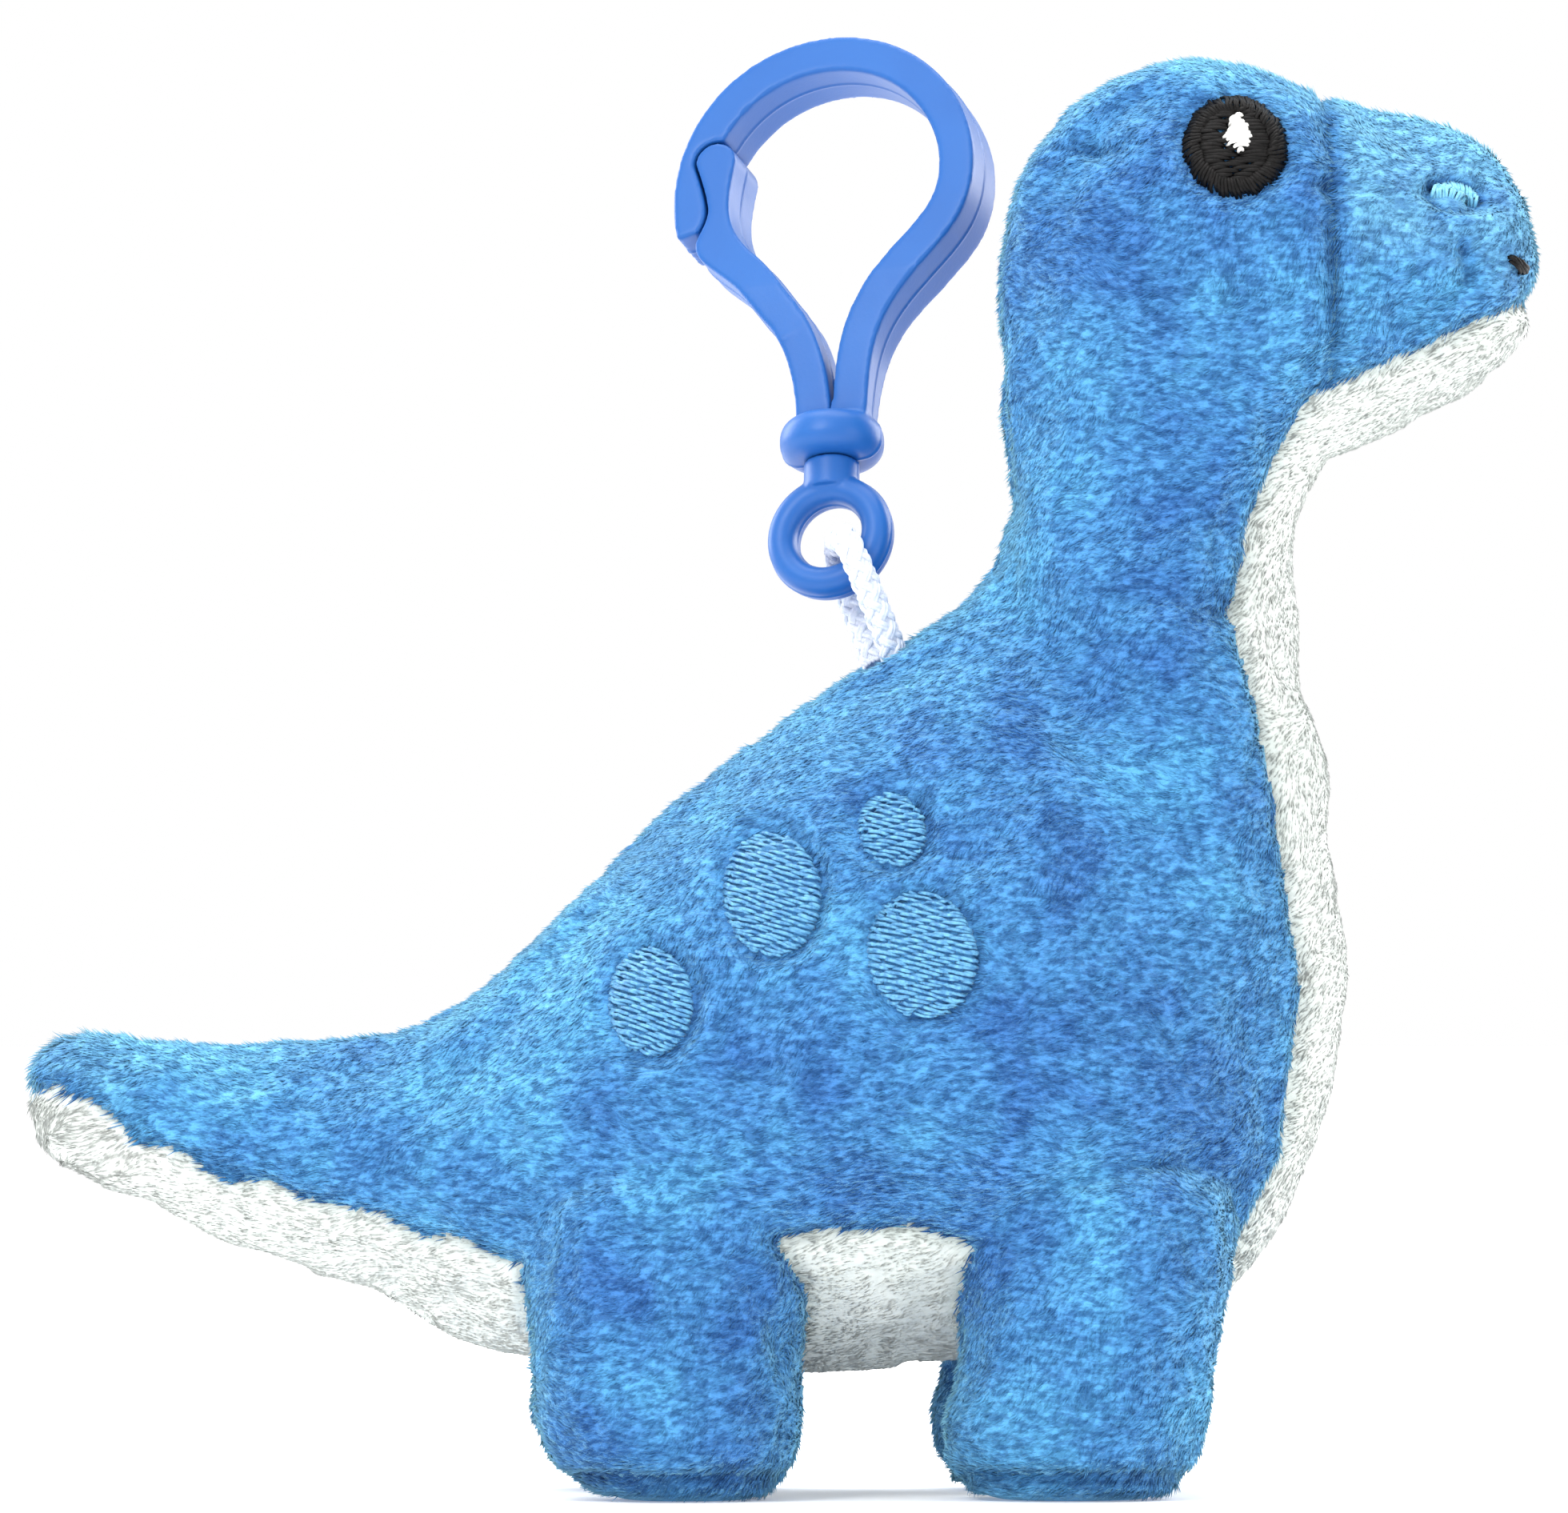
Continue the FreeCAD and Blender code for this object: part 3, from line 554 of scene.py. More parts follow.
lift = np.zeros(len(place))
lift -= 0.75 * bump(seam, 0.8)
pucker = fine_noise(place, 1.9 * MM, 3)
lift -= 0.35 * np.clip(pucker, 0, 1) * bump(seam, 3.2)
for name, patch in PATCHES.items():
    rim = in_patch(place, patch)
    size_mm = (patch[2] + patch[3]) / 2
    lift -= 0.8 * bump((rim - 1.04) * size_mm, 0.75)
    lift -= 0.25 * (rim < 1.0)
    lift += 0.3 * bump((rim - 1.0) * size_mm - 2.0, 1.0)
lift -= 0.75 * crease(place, [(24.4, 120.2), (29.6, 119.9)], 0.8)
for tip in ((21.5, 124.0), (25.0, 114.0), (31.5, 124.5), (33.0, 115.5)):
    lift -= 0.3 * crease(place, [(27.0, 120.0), tip], 0.8)
lift -= 0.9 * crease(place, [(29.5, 79.8), (34.5, 80.2), (39.0, 79.2)], 1.6)
lift -= 0.9 * crease(place, [(7.6, 40.0), (8.8, 34.0), (9.0, 26.0)], 3.4)
lift -= 0.9 * crease(place, [(60.4, 111.4), (60.9, 108.4)], 0.9)
lift -= 0.5 * crease(place, [(60.6, 111.2), (63.6, 110.9)], 0.8)
lift -= 1.1 * crease(place, [(57.6, 117.2), (59.6, 117.3), (61.4, 116.4)], 0.6)
lift += 0.5 * crease(place, [(61.6, 107.6), (64.2, 106.6)], 1.6)
fan = fine_noise(place * np.array([0.16, 0.5, 1.0]), 1.9 * MM, 6)
on_head = np.clip((place[:, 2] / MM - 95.0) / 3.0, 0, 1)
lift -= 0.5 * np.clip(fan, -0.3, 1) * bump(place[:, 0] / MM - 48.5, 5.0) * on_head
# The cord pulls the back seam into a small hollow where it comes out.
from_exit = np.linalg.norm(place / MM - LOOP_EXIT, axis=1)
lift -= 0.9 * bump(from_exit, 3.4)
lift += 0.45 * fine_noise(place, 13.0 * MM, 1)
lift += 0.16 * fine_noise(place, 4.0 * MM, 2)
lift += 0.1 * fine_noise(place * np.array([0.5, 0.5, 1.6]), 1.5 * MM, 4)
tip_end = bump(place[:, 0] / MM + 63.0, 4.0) * np.clip((place[:, 2] / MM - 34.0) / 3.0, 0, 1)
lift += 0.5 * tip_end
# How light the pile looks, with painted light and shade: 0 in painted shade in a hollow, a half on
# plain cloth, 1 where it is palest. The muzzle, the tail's tip and the faces that look up carry
# painted light as well as the cloth's own tone.
# Painted light on the muzzle's top and the snout's front, along with the muzzle's paler cloth.
pale_pile_and_painted_light = np.clip((place[:, 0] / MM - 48.5) / 2.5, 0, 1) * on_head
pale_pile_and_painted_light *= np.clip(0.3 + 0.085 * (place[:, 2] / MM - 108.0), 0.05, 1.0)
pale_pile_and_painted_light += 0.35 * bump(place[:, 0] / MM - 66.0, 3.5) * on_head
# Painted light on the faces that look up.
pale_pile_and_painted_light += 0.75 * np.clip(out[:, 2] - 0.3, 0, 1) * np.clip(place[:, 2] / MM / 20.0, 0, 1)
# A lighter tail tip: painted light as well as paler cloth.
pale_pile_and_painted_light += 0.6 * bump(place[:, 0] / MM + 64.0, 6.0)
# Painted shade: darker in the seams, in the creases round the mouth, nostril, head, neck and legs,
# and round the embroidered patches.
painted_shade = 0.75 * bump(seam, 0.9) + 0.6 * crease(place, [(60.4, 111.4), (60.9, 108.4)], 0.8)
painted_shade += 1.0 * crease(place, [(57.6, 117.1), (59.6, 117.2), (61.3, 116.4), (61.9, 115.6)], 0.42)
painted_shade += 0.5 * crease(place, [(58.2, 114.2), (60.6, 113.8)], 0.6)
painted_shade += 0.55 * crease(place, [(24.4, 120.2), (29.6, 119.9)], 0.7)
painted_shade += 0.3 * crease(place, [(29.5, 79.8), (34.5, 80.2), (39.0, 79.2)], 1.6)
painted_shade += 0.25 * crease(place, [(7.6, 40.0), (8.8, 34.0), (9.0, 26.0)], 3.0)
painted_shade += 0.25 * crease(place, [(52.0, 106.5), (57.0, 107.0), (58.5, 104.5)], 3.2)
for name, patch in PATCHES.items():
    painted_shade += 0.6 * bump((in_patch(place, patch) - 1.03) * (patch[2] + patch[3]) / 2, 0.45)
# lit joins the painted light and the painted shade that colour the fabric and the pile.
lit = np.clip(0.5 + 0.5 * pale_pile_and_painted_light, 0, 1) * (1.0 - np.clip(painted_shade, 0, 1))
sole = np.clip(place[:, 2] / MM / 2.0, 0, 1)
place = place + out * (lift * sole * MM)[:, None]
place[:, 2] = np.maximum(place[:, 2], 0.0)
set_points(skin, place)
out = normals_of(skin)

# ------------------------------------------------------------------ panels
WALL = 0.9 * MM
corner_lists = face_table(skin)
face_owner = []
for face in corner_lists:
    mean = distances[list(face)].mean(axis=0)
    face_owner.append(int(np.argmin(mean)))
face_owner = np.array(face_owner)


def panel_piece(name, faces):
    """A closed fabric panel: its outside, its inside, and its cut edges."""
    used = sorted({i for face in faces for i in face})
    number = {old: new for new, old in enumerate(used)}
    outside = place[used]
    inside = outside - out[used] * WALL
    count = len(used)
    made = []
    edge_use = {}
    for face in faces:
        local = [number[i] for i in face]
        made.append(tuple(local))
        made.append(tuple(count + i for i in reversed(local)))
        for a, b in zip(local, local[1:] + local[:1]):
            edge_use[(a, b)] = edge_use.get((a, b), 0) + 1
    for a, b in edge_use:
        if (b, a) not in edge_use:
            made.append((b, a, count + a, count + b))
    fabric = new_object(name, np.vstack([outside, inside]), made)
    # The painted light and shade, for the fabric's colour.
    shade = fabric.data.attributes.new("lit", "FLOAT", "POINT")
    shade.data.foreach_set("value", np.tile(lit[used], 2).astype(np.float32))
    return fabric


def napped(points, normals):
    """The way the pile lies: back and down, swirling a little from place to place."""
    swirl = fine_noise(points, 16.0 * MM, 8) * 1.1
    ruffle = fine_noise(points, 3.0 * MM, 9) * 0.7
    angle = np.radians(205.0) + swirl + ruffle
    way = np.stack([np.cos(angle), 0.25 * np.sin(3 * angle), np.sin(angle)], axis=1)
    along = way - normals * np.sum(way * normals, axis=1, keepdims=True)
    return unit(along)


def pile_piece(name, faces, blades, length_mm, width_mm, seed, stand):
    """Many small closed tufts on a panel's outside."""
    random = np.random.RandomState(seed)
    corners = []
    for face in faces:
        corners.append((face[0], face[1], face[2]))
        if len(face) == 4:
            corners.append((face[0], face[2], face[3]))
    corners = np.array(corners)
    a = place[corners[:, 0]]
    b = place[corners[:, 1]]
    c = place[corners[:, 2]]
    area = np.linalg.norm(np.cross(b - a, c - a), axis=1)
    picked = random.choice(len(corners), blades, p=area / area.sum())
    u = random.rand(blades)
    v = random.rand(blades)
    flip = u + v > 1
    u[flip] = 1 - u[flip]
    v[flip] = 1 - v[flip]
    w = 1 - u - v
    share = np.stack([w, u, v], axis=1)
    root = (place[corners[picked]] * share[:, :, None]).sum(axis=1)
    normal = unit((out[corners[picked]] * share[:, :, None]).sum(axis=1))
    near_seam = (seam[corners[picked]] * share).sum(axis=1)
    lit_here = (lit[corners[picked]] * share).sum(axis=1)
    keep = root[:, 2] > 0.5 * MM
    for patch in PATCHES.values():
        keep &= in_patch(root, patch) > 0.98
    root = root[keep]
    normal = normal[keep]
    near_seam = near_seam[keep]
    lit_here = lit_here[keep]
    total = len(root)
    along = napped(root, normal)
    side = np.cross(normal, along)
    jitter = random.randn(total, 3) * stand * 0.45
    way = unit(along + normal * stand * (0.7 + 0.6 * random.rand(total, 1)) + jitter)
    ruff = 1.0 + 0.35 * bump(near_seam, 1.2) + 0.6 * np.clip((-54.0 - root[:, 0] / MM) / 8.0, 0, 1)
    length = length_mm * MM * (0.65 + 0.6 * random.rand(total)) * ruff
    width = width_mm * MM * (0.7 + 0.6 * random.rand(total))
    deep = root - normal * 0.12 * MM
    points = np.stack(
        [
            deep + side * width[:, None] / 2,
            deep - side * width[:, None] / 2,
            deep + normal * (width * 0.7)[:, None] - along * (width * 0.3)[:, None],
            root + way * length[:, None],
        ],
        axis=1,
    )
    blade = np.array([(0, 1, 2), (0, 3, 1), (1, 3, 2), (2, 3, 0)])
    faces_made = (np.arange(total)[:, None, None] * 4 + blade[None]).reshape(-1, 3)
    mesh = bpy.data.meshes.new(name)
    flat = points.reshape(-1, 3)
    mesh.vertices.add(len(flat))
    mesh.vertices.foreach_set("co", flat.astype(np.float32).ravel())
    mesh.loops.add(len(faces_made) * 3)
    mesh.loops.foreach_set("vertex_index", faces_made.astype(np.int32).ravel())
    mesh.polygons.add(len(faces_made))
    mesh.polygons.foreach_set("loop_start", np.arange(0, len(faces_made) * 3, 3, dtype=np.int32))
    mesh.update(calc_edges=True)
    mesh.polygons.foreach_set("use_smooth", [True] * len(faces_made))
    # tip runs from the root, which gets painted shade, to the lighter tip.
    tip = mesh.attributes.new("tip", "FLOAT", "POINT")
    tip.data.foreach_set("value", np.tile([0.0, 0.0, 0.15, 1.0], total).astype(np.float32))
    # The painted light and shade, for the tufts' colour.
    shade = mesh.attributes.new("lit", "FLOAT", "POINT")
    shade.data.foreach_set("value", np.repeat(lit_here, 4).astype(np.float32))
    lie = mesh.attributes.new("skin_normal", "FLOAT_VECTOR", "POINT")
    lie.data.foreach_set("vector", np.repeat(normal, 4, axis=0).astype(np.float32).ravel())
    made = bpy.data.objects.new(name, mesh)
    bpy.context.scene.collection.objects.link(made)
    return made


REPLACED = {
    "left_side_panel": ["left_side_panel", "body_stuffing", "tail_stuffing"],
    "right_side_panel": ["right_side_panel", "neck_stuffing", "head_stuffing"],
    "left_rear_inner_leg_panel": ["left_rear_inner_leg_panel", "left_rear_leg_stuffing"],
    "right_rear_inner_leg_panel": ["right_rear_inner_leg_panel", "right_rear_leg_stuffing"],
    "left_front_inner_leg_panel": ["left_front_inner_leg_panel", "left_front_leg_stuffing"],
    "right_front_inner_leg_panel": ["right_front_inner_leg_panel", "right_front_leg_stuffing"],
}
TUFTS_PER_MM2 = 9.0
MOST_TUFTS = 49000
for index, panel in enumerate(PANELS):
    faces = [corner_lists[i] for i in np.nonzero(face_owner == index)[0]]
    white = panel == "belly_gusset"
    piece = panel_piece(panel + "_fabric", faces)
    piece.data.materials.append(white_skin if white else blue_skin)
    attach(piece, "plush")
    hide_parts(*REPLACED.get(panel, [panel]))
    ends = place[np.array([face[:3] for face in faces])]
    across = np.cross(ends[:, 1] - ends[:, 0], ends[:, 2] - ends[:, 0])
    area = np.linalg.norm(across, axis=1).sum() / MM**2
    layers = math.ceil(area * TUFTS_PER_MM2 / MOST_TUFTS)
    for layer in range(layers):
        blades = int(min(MOST_TUFTS, area * TUFTS_PER_MM2 / layers))
        seed = 20 + 40 * layer + index
        length, stand = (0.7, 0.12) if white else (0.85, 0.36)
        pile = pile_piece(f"{panel}_pile_{layer + 1}", faces, blades, length, 0.2, seed, stand)
        pile.data.materials.append(white_pile if white else blue_pile)
        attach(pile, "plush")
    print(panel, "faces", len(faces), "area", round(float(area)), "tufts", blades * layers)

skin_tree = BVHTree.FromPolygons([Vector(p) for p in place], corner_lists)
bpy.data.objects.remove(shell)


# ------------------------------------------------------------------ embroidery
def on_skin(x_mm, z_mm, side):
    """The point of the outside under a place on one flank, and the way out of it."""
    start = Vector((x_mm * MM, side * 60 * MM, z_mm * MM))
    hit, normal, _, _ = skin_tree.ray_cast(start, Vector((0, -side, 0)))
    return (np.array(hit), np.array(normal)) if hit is not None else None


class Threads:
    """Gathers stitches as closed tubes in one mesh."""

    def __init__(self):
        self.points = []
        self.faces = []

    def tube(self, path, radii, ups, flat=0.75, sides=7):
        path = np.array(path)
        first = len(self.points)
        way = unit(np.gradient(path, axis=0))
        ups = np.array(ups)
        across = unit(np.cross(way, ups))
        ups = np.cross(across, way)
        for p, r, x, n in zip(path, radii, across, ups):
            for k in range(sides):
                turn = 2 * math.pi * k / sides
                self.points.append(p + x * r * math.cos(turn) + n * r * flat * math.sin(turn))
        rings = len(path)
        for i in range(rings - 1):
            for k in range(sides):
                m = (k + 1) % sides
                a = first + i * sides
                b = a + sides
                self.faces.append((a + k, a + m, b + m, b + k))
        self.faces.append(tuple(first + k for k in reversed(range(sides))))
        self.faces.append(tuple(first + (rings - 1) * sides + k for k in range(sides)))

    def stitch(self, start, end, side, radius_mm, rise_mm, steps=7):
        """A stitch over the skin from one place to another; its ends go into the fabric."""
        path = []
        ups = []
        radii = []
        for i in range(steps):
            t = i / (steps - 1)
            x = start[0] + (end[0] - start[0]) * t
            z = start[1] + (end[1] - start[1]) * t
            spot = on_skin(x, z, side)
            if spot is None:
                return
            arch = math.sin(math.pi * t) ** 0.4 if 0 < t < 1 else 0.0
            height = (rise_mm * arch - 0.22 * (1 - arch)) * MM
            path.append(spot[0] + spot[1] * height)
            ups.append(spot[1])
            radii.append(radius_mm * MM * (0.72 + 0.28 * arch))
        self.tube(path, radii, ups)

    def piece(self, name, paint, slot_name, replaced):
        made = new_object(name, self.points, self.faces)
        made.data.materials.append(paint)
        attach(made, "plush")
        if replaced:
            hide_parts(replaced)
        return made


def leaning(patch, u, v):
    """A place on a patch from its own across and up, in millimetres."""
    x, z, _, _, lean = patch
    angle = math.radians(lean)
    return (
        x + u * math.cos(angle) + v * math.sin(angle),
        z - u * math.sin(angle) + v * math.cos(angle),
    )


def fill_spot(patch, side, seed):
    """Rows of staggered stitches that fill a spot."""
    random = np.random.RandomState(seed)
    threads = Threads()
    _, _, half_x, half_z, _ = patch
    pitch = 0.3
    rows = int(2 * half_z / pitch)
    reach = 2.3
    for row in range(rows + 1):
        v = -half_z + row * pitch
        half = half_x * math.sqrt(max(0.0, 1 - (v / half_z) ** 2))
        if half < 0.5:
            continue
        start = -half - 0.12 + 0.1 * random.rand()
        stop = half + 0.12 - 0.1 * random.rand()
        first = start + reach * ((row * 0.37) % 1.0)
        cuts = [start]
        while first < stop - 0.7:
            if first > start + 0.7:
                cuts.append(first)
            first += reach
        cuts.append(stop)
        slope = 0.1 if row % 2 else 0.06
        for a, b in zip(cuts, cuts[1:]):
            wobble = random.randn(2) * 0.06
            threads.stitch(
                leaning(patch, a, v - slope * a + wobble[0] + 0.07),
                leaning(patch, b, v - slope * b + wobble[1] - 0.07),
                side,
                0.14 + 0.04 * random.rand(),
                0.36 + 0.16 * random.rand(),
            )
    return threads


def eye_threads(side, seed):
    random = np.random.RandomState(seed)
    threads = Threads()
    patch = PATCHES["eye"]
    radius = patch[2]
    pitch = 0.29
    rows = int(2 * (radius - 1.1) / pitch)
    for row in range(rows + 1):
        v = -(radius - 1.1) + row * pitch
        half = math.sqrt(max(0.0, (radius - 1.0) ** 2 - v * v))
        cut = (random.rand() - 0.5) * half
        for a, b in ((-half, cut), (cut, half)):
            left_end = leaning(patch, a - 0.15, v)
            right_end = leaning(patch, b + 0.15, v + 0.1)
            threads.stitch(left_end, right_end, side, 0.23, 0.44)
    count = 78
    for i in range(count):
        turn = 2 * math.pi * i / count
        slant = 0.22
        inner = radius - 1.75 + 0.2 * random.rand()
        outer = radius + 0.1 + 0.28 * random.rand()
        threads.stitch(
            leaning(patch, inner * math.cos(turn), inner * math.sin(turn)),
            leaning(patch, outer * math.cos(turn + slant), outer * math.sin(turn + slant)),
            side,
            0.2,
            0.62,
            6,
        )
    return threads


# The glint's rows from low to high: left end and right end from the eye's middle.
GLINT_ROWS = [
    (-0.9, 0.1, 0.9),
    (-0.6, -0.4, 1.5),
    (-0.3, -0.9, 1.6),
    (0.0, -1.35, 1.5),
    (0.3, -1.4, 1.9),
    (0.6, -1.1, 1.7),
    (0.9, -0.9, 1.5),
    (1.2, -0.7, 1.6),
    (1.5, -0.5, 1.2),
    (1.8, -0.4, 1.0),
    (2.1, -0.1, 0.7),
]


def glint_threads(side, seed):
    random = np.random.RandomState(seed)
    threads = Threads()
    patch = PATCHES["eye"]
    for v, a, b in GLINT_ROWS:
        a = a + 0.15 * random.randn()
        b = b + 0.15 * random.randn()
        threads.stitch(leaning(patch, a, v + 0.3), leaning(patch, b, v + 0.42), side, 0.21, 0.82, 6)
    return threads


def nostril_threads(side, seed):
    random = np.random.RandomState(seed)
    threads = Threads()
    patch = PATCHES["nostril"]
    count = 16
    for i in range(count):
        u = -2.05 + 4.1 * i / (count - 1)
        arch = 0.55 * (1 - (u / 2.1) ** 2)
        half = 0.4 + 0.45 * math.sqrt(max(0.05, 1 - (u / 2.2) ** 2))
        threads.stitch(
            leaning(patch, u - 0.05, -half + arch - 0.1 * random.rand()),
            leaning(patch, u + 0.16 + 0.06 * random.randn(), half + arch),
            side,
            0.19,
            0.95,
            7,
        )
    return threads


# The mouth's satin stitches side by side: shift across, start and end along it.
MOUTH_FROM = (64.2, 110.5)
MOUTH_TO = (65.85, 108.75)
MOUTH_STITCHES = [(-0.34, 0.12, 0.82), (-0.12, 0.0, 0.95), (0.12, 0.05, 1.0), (0.33, 0.25, 0.92)]

for side_name, side in SIDES.items():
    for offset, spot in enumerate(("tail_spot", "rear_spot", "top_spot", "front_spot")):
        threads = fill_spot(PATCHES[spot], side, 40 + offset)
        threads.piece(
            f"{side_name}_{spot}_stitches", blue_thread, "thread_blue", f"{side_name}_{spot}"
        )
    eye_threads(side, 51).piece(
        f"{side_name}_eye_stitches", black_thread, "thread_black", f"{side_name}_eye"
    )
    glint_threads(side, 52).piece(
        f"{side_name}_glint_stitches", white_thread, "thread_white", f"{side_name}_eye_glint"
    )
    nostril_threads(side, 53).piece(
        f"{side_name}_nostril_stitches", pale_thread, "thread_blue", f"{side_name}_nostril"
    )
    mouth = Threads()
    for shift, first, last in MOUTH_STITCHES:
        ends = []
        for share in (first, last):
            x = MOUTH_FROM[0] + (MOUTH_TO[0] - MOUTH_FROM[0]) * share + 0.73 * shift
            z = MOUTH_FROM[1] + (MOUTH_TO[1] - MOUTH_FROM[1]) * share + 0.68 * shift
            ends.append((x, z))
        mouth.stitch(ends[0], ends[1], side, 0.2, 0.62, 9)
    mouth.piece(
        f"{side_name}_mouth_stitches", black_thread, "thread_black", f"{side_name}_mouth_stitch"
    )

# ------------------------------------------------------------------ cord loop
LOOP_ROUTE = [
    (0.95, -1.5, -1.2),
    (-2.2, -4.3, 6.6),
    (-4.3, -2.8, 11.2),
    (-4.3, 5.6, 8.2),
    (-2.4, 4.3, 3.2),
    (-0.95, 1.5, -1.2),
]


def cord_curve(name, radius):
    curve = bpy.data.curves.new(name, "CURVE")
    curve.dimensions = "3D"
    line = curve.splines.new("NURBS")
    line.points.add(len(LOOP_ROUTE) - 1)
    for point, offset in zip(line.points, LOOP_ROUTE):
        point.co = (*((LOOP_EXIT + np.array(offset)) * MM), 1.0)
    line.order_u = 3
    line.use_endpoint_u = True
    line.resolution_u = 24
    curve.bevel_depth = radius
    curve.bevel_resolution = 5
    curve.use_fill_caps = True
    made = bpy.data.objects.new(name, curve)
    bpy.context.scene.collection.objects.link(made)
    return made


centre = cord_curve("route", 0.0)
bpy.context.view_layer.update()
line_points = points_of(evaluated_mesh(centre))
bpy.data.objects.remove(centre)
steps = np.linalg.norm(np.diff(line_points, axis=0), axis=1)
reach = np.concatenate([[0], np.cumsum(steps)])
cord_length = float(reach[-1])
SLICES = 220
even = np.linspace(0, cord_length, SLICES)
route = np.stack([np.interp(even, reach, line_points[:, k]) for k in range(3)], axis=1)
for _ in range(4):
    route[1:-1] = (route[:-2] + 2 * route[1:-1] + route[2:]) / 4
tangent = unit(np.gradient(route, axis=0))
frame_out = np.zeros_like(route)
frame_out[0] = np.cross(tangent[0], [0.3, 0.2, 1.0])
frame_out[0] /= np.linalg.norm(frame_out[0])
for i in range(1, SLICES):
    rest = frame_out[i - 1] - tangent[i] * (frame_out[i - 1] @ tangent[i])
    frame_out[i] = rest / np.linalg.norm(rest)
frame_side = np.cross(tangent, frame_out)
braid = Threads()
LAY_LENGTH = 7.4 * MM
PLAITS = 4
for way in (1.0, -1.0):
    for plait in range(PLAITS):
        for yarn in (-0.5, 0.5):
            turn = way * 2 * math.pi * even / LAY_LENGTH + 2 * math.pi * plait / PLAITS
            weave = np.cos(PLAITS * turn + (0.0 if way > 0 else math.pi))
            turn = turn + yarn * 0.36
            radius = (1.0 + 0.13 * weave) * MM
            away = frame_out * np.cos(turn)[:, None] + frame_side * np.sin(turn)[:, None]
            path = route + away * radius[:, None]
            braid.tube(path, np.full(SLICES, 0.27 * MM), away, 0.8, 6)
core = cord_curve("hang_loop_core", 0.98 * MM)
core.data.materials.append(cord_fibre)
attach(core, "loop")
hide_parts("hang_loop")
braid_piece = new_object("hang_loop_braid", braid.points, braid.faces)
braid_piece.data.materials.append(cord_fibre)
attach(braid_piece, "loop")
anchor = joined("loop_knot", ["loop_anchor"])
anchor.data.materials.append(cord_fibre)
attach(anchor, "plush")
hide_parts("loop_anchor")

# ------------------------------------------------------------------ plastic clip
RING_CENTRE = LOOP_EXIT + np.array([-4.96, 2.3, 10.3])
CLIP_AXES = np.array(
    [
        [0.930698, -0.344827, 0.122049],
        [0.364995, 0.853477, -0.371962],
        [0.024096, 0.390731, 0.920189],
    ]
)


def sliced(node_name, cuts):
    """A closed copy of a node, cut by planes of the clip's frame: axis, place, kept side."""
    work = bmesh.new()
    work.from_mesh(NODES[node_name].data)
    bmesh.ops.remove_doubles(work, verts=work.verts, dist=1e-6)
    for axis, place_mm, kept in cuts:
        whole = work.verts[:] + work.edges[:] + work.faces[:]
        cut = bmesh.ops.bisect_plane(
            work,
            geom=whole,
            dist=1e-7,
            plane_co=Vector((RING_CENTRE + CLIP_AXES[axis] * place_mm) * MM),
            plane_no=Vector(CLIP_AXES[axis] * kept),
            clear_inner=True,
        )
        rim = [e for e in cut["geom_cut"] if isinstance(e, bmesh.types.BMEdge)]
        bmesh.ops.holes_fill(work, edges=rim, sides=0)
    points = [tuple(v.co) for v in work.verts]
    work.verts.index_update()
    faces = [tuple(v.index for v in f.verts) for f in work.faces]
    work.free()
    return points, faces


def slab(start, end, half_width, half_depth):
    """A block along a line of the clip's xz plane."""
    start = np.array([start[0], 0.0, start[1]])
    end = np.array([end[0], 0.0, end[1]])
    along = unit(end - start)
    across = np.array([along[2], 0.0, -along[0]]) * half_width
    deep = np.array([0.0, half_depth, 0.0])
    local = [p + s * across + d * deep for p in (start, end) for s in (-1, 1) for d in (-1, 1)]
    points = [tuple((RING_CENTRE + p @ CLIP_AXES) * MM) for p in local]
    ends = [(0, 1, 3, 2), (4, 6, 7, 5)]
    sides = [(0, 4, 5, 1), (2, 3, 7, 6), (0, 2, 6, 4), (1, 5, 7, 3)]
    return points, ends + sides


def moulded(name, parts, voxel_mm, rounds):
    """A moulding with its edges rounded over and a fine parting line at mid depth."""
    points = []
    faces = []
    for more, more_faces in parts:
        first = len(points)
        points.extend(more)
        faces.extend(tuple(first + i for i in f) for f in more_faces)
    made = new_object(name, points, faces)
    remeshed(made, voxel_mm * MM)
    eased = relaxed(points_of(made.data), edges_of(made.data), rounds)
    set_points(made.data, eased)
    normal = normals_of(made.data)
    local = (eased / MM - RING_CENTRE) @ CLIP_AXES.T
    parting = bump(local[:, 1], 0.16) * np.clip(1 - np.abs(normal @ CLIP_AXES[1]) * 2, 0, 1)
    set_points(made.data, eased + normal * (0.1 * parting * MM)[:, None])
    made.data.materials.append(clip_plastic)
    return made


ARM_SPLIT = 0.35
ARCH_FROM = 26.0
COLLAR_TO = 11.6
KNUCKLE = (-3.9, 21.3)
ROOT = (-2.7, 19.3)
hook = moulded(
    "clip_hook_moulding",
    [
        sliced("clip_hook", [(0, ARM_SPLIT, 1)]),
        sliced("clip_hook", [(2, ARCH_FROM, 1)]),
        sliced("clip_hook", [(2, COLLAR_TO, -1)]),
    ],
    0.17,
    14,
)
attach(hook, "hook")
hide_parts("clip_hook")
# The sprung arm is one moulding with the hook: it bends from its root to its bulb.
arm = moulded(
    "clip_gate_moulding",
    [
        sliced("clip_hook", [(0, ARM_SPLIT, -1), (2, ARCH_FROM, -1), (2, COLLAR_TO - 1.0, 1)]),
        sliced("clip_gate", []),
        slab(ROOT, KNUCKLE, 1.62, 2.75),
    ],
    0.15,
    14,
)
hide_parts("clip_gate")
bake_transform(arm)
ring = moulded("swivel_ring_moulding", [sliced("swivel_ring", [])], 0.14, 8)
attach(ring, "ring")
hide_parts("swivel_ring")

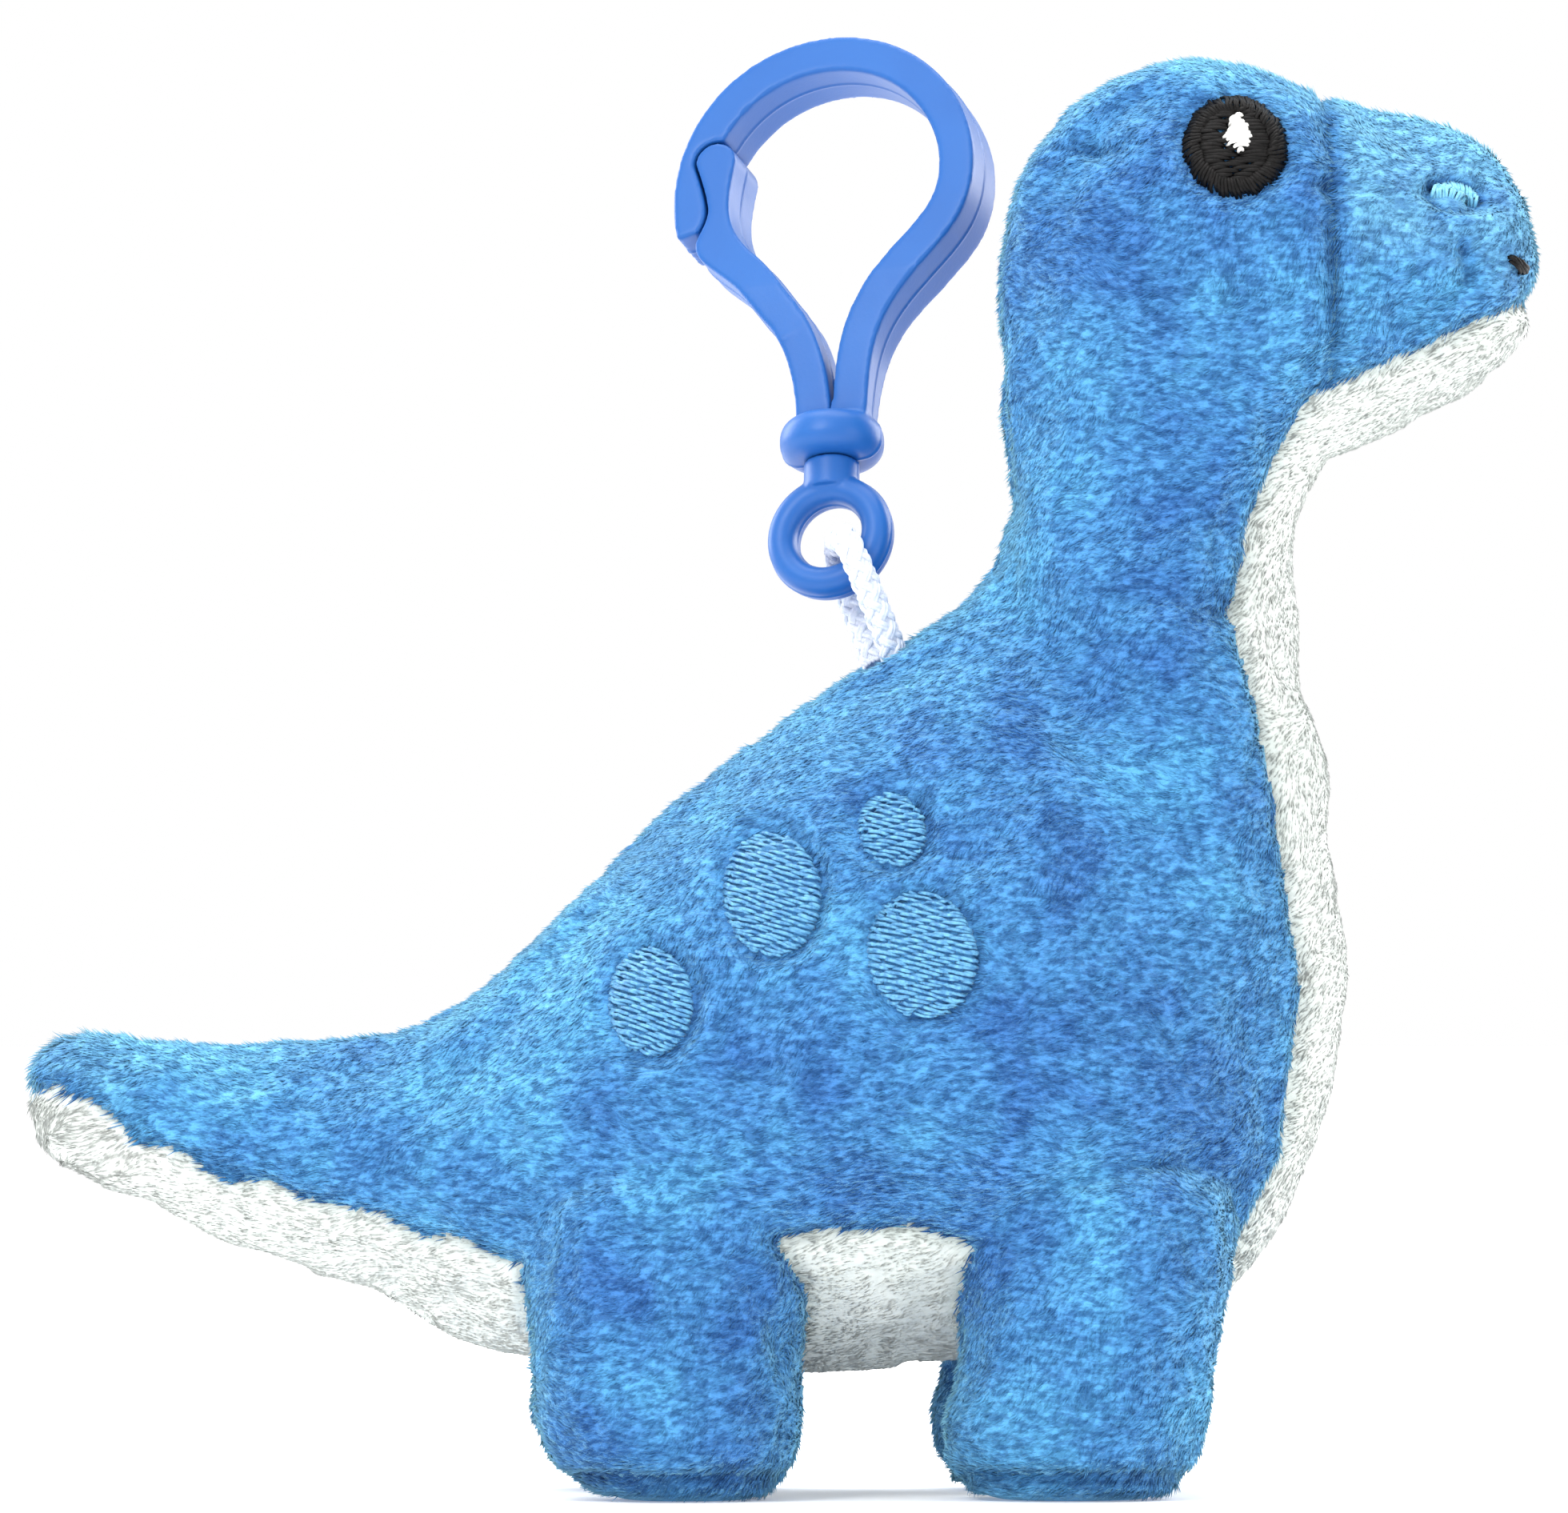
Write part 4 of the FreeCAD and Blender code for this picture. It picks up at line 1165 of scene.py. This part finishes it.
# ------------------------------------------------------------------ studio
floor = new_object(
    "studio_floor",
    [(-3, -3, 0), (3, -3, 0), (3, 3, 0), (-3, 3, 0)],
    [(0, 1, 2, 3)],
)
paper, paper_tree, paper_shader = material("studio_paper")
paper_shader.inputs["Base Color"].default_value = (0.93, 0.93, 0.93, 1.0)
paper_shader.inputs["Roughness"].default_value = 0.9
paper_shader.inputs["Specular IOR Level"].default_value = 0.1
paper_shader.inputs["Emission Color"].default_value = (1.0, 1.0, 1.0, 1.0)
paper_shader.inputs["Emission Strength"].default_value = 0.22
floor.data.materials.append(paper)

world = bpy.data.worlds.new("studio")
world.use_nodes = True
world.node_tree.nodes["Background"].inputs["Color"].default_value = (1.0, 1.0, 1.0, 1.0)
world.node_tree.nodes["Background"].inputs["Strength"].default_value = 1.0
bpy.context.scene.world = world


def softbox(name, place_mm, size_mm, watts, aim_mm=(0, 0, 60)):
    light = bpy.data.lights.new(name, "AREA")
    light.shape = "RECTANGLE"
    light.size = size_mm[0] * MM
    light.size_y = size_mm[1] * MM
    light.energy = watts
    made = bpy.data.objects.new(name, light)
    made.location = Vector(place_mm) * MM
    aim = Vector(aim_mm) * MM - made.location
    made.rotation_mode = "QUATERNION"
    made.rotation_quaternion = aim.to_track_quat("-Z", "Y")
    bpy.context.scene.collection.objects.link(made)
    return made


softbox("key", (-260, -420, 420), (260, 260), 1.9)
softbox("fill", (380, -360, 180), (300, 300), 0.5)
softbox("top", (0, 60, 520), (420, 420), 2.0)
softbox("rim_tail", (-420, 300, 260), (260, 320), 1.9)
softbox("rim_head", (420, 320, 220), (260, 320), 1.7)

scene = bpy.context.scene
scene.view_settings.view_transform = "Standard"
scene.view_settings.look = "None"
scene.view_settings.exposure = 0.0
lens = bpy.data.cameras.new("camera")
lens.lens = 500.0
lens.sensor_width = 36.0
lens.clip_start = 0.01
lens.clip_end = 20.0
FRAME_WIDTH = 140.0
distance = FRAME_WIDTH * lens.lens / lens.sensor_width
camera = bpy.data.objects.new("camera", lens)
AZIMUTH = math.radians(-2.0)
aim = Vector((0.1, 0.0, 65.9))
camera.location = (aim + Vector((math.sin(AZIMUTH), -math.cos(AZIMUTH), 0.0)) * distance) * MM
camera.rotation_euler = (math.pi / 2, 0, AZIMUTH)
scene.collection.objects.link(camera)
scene.camera = camera
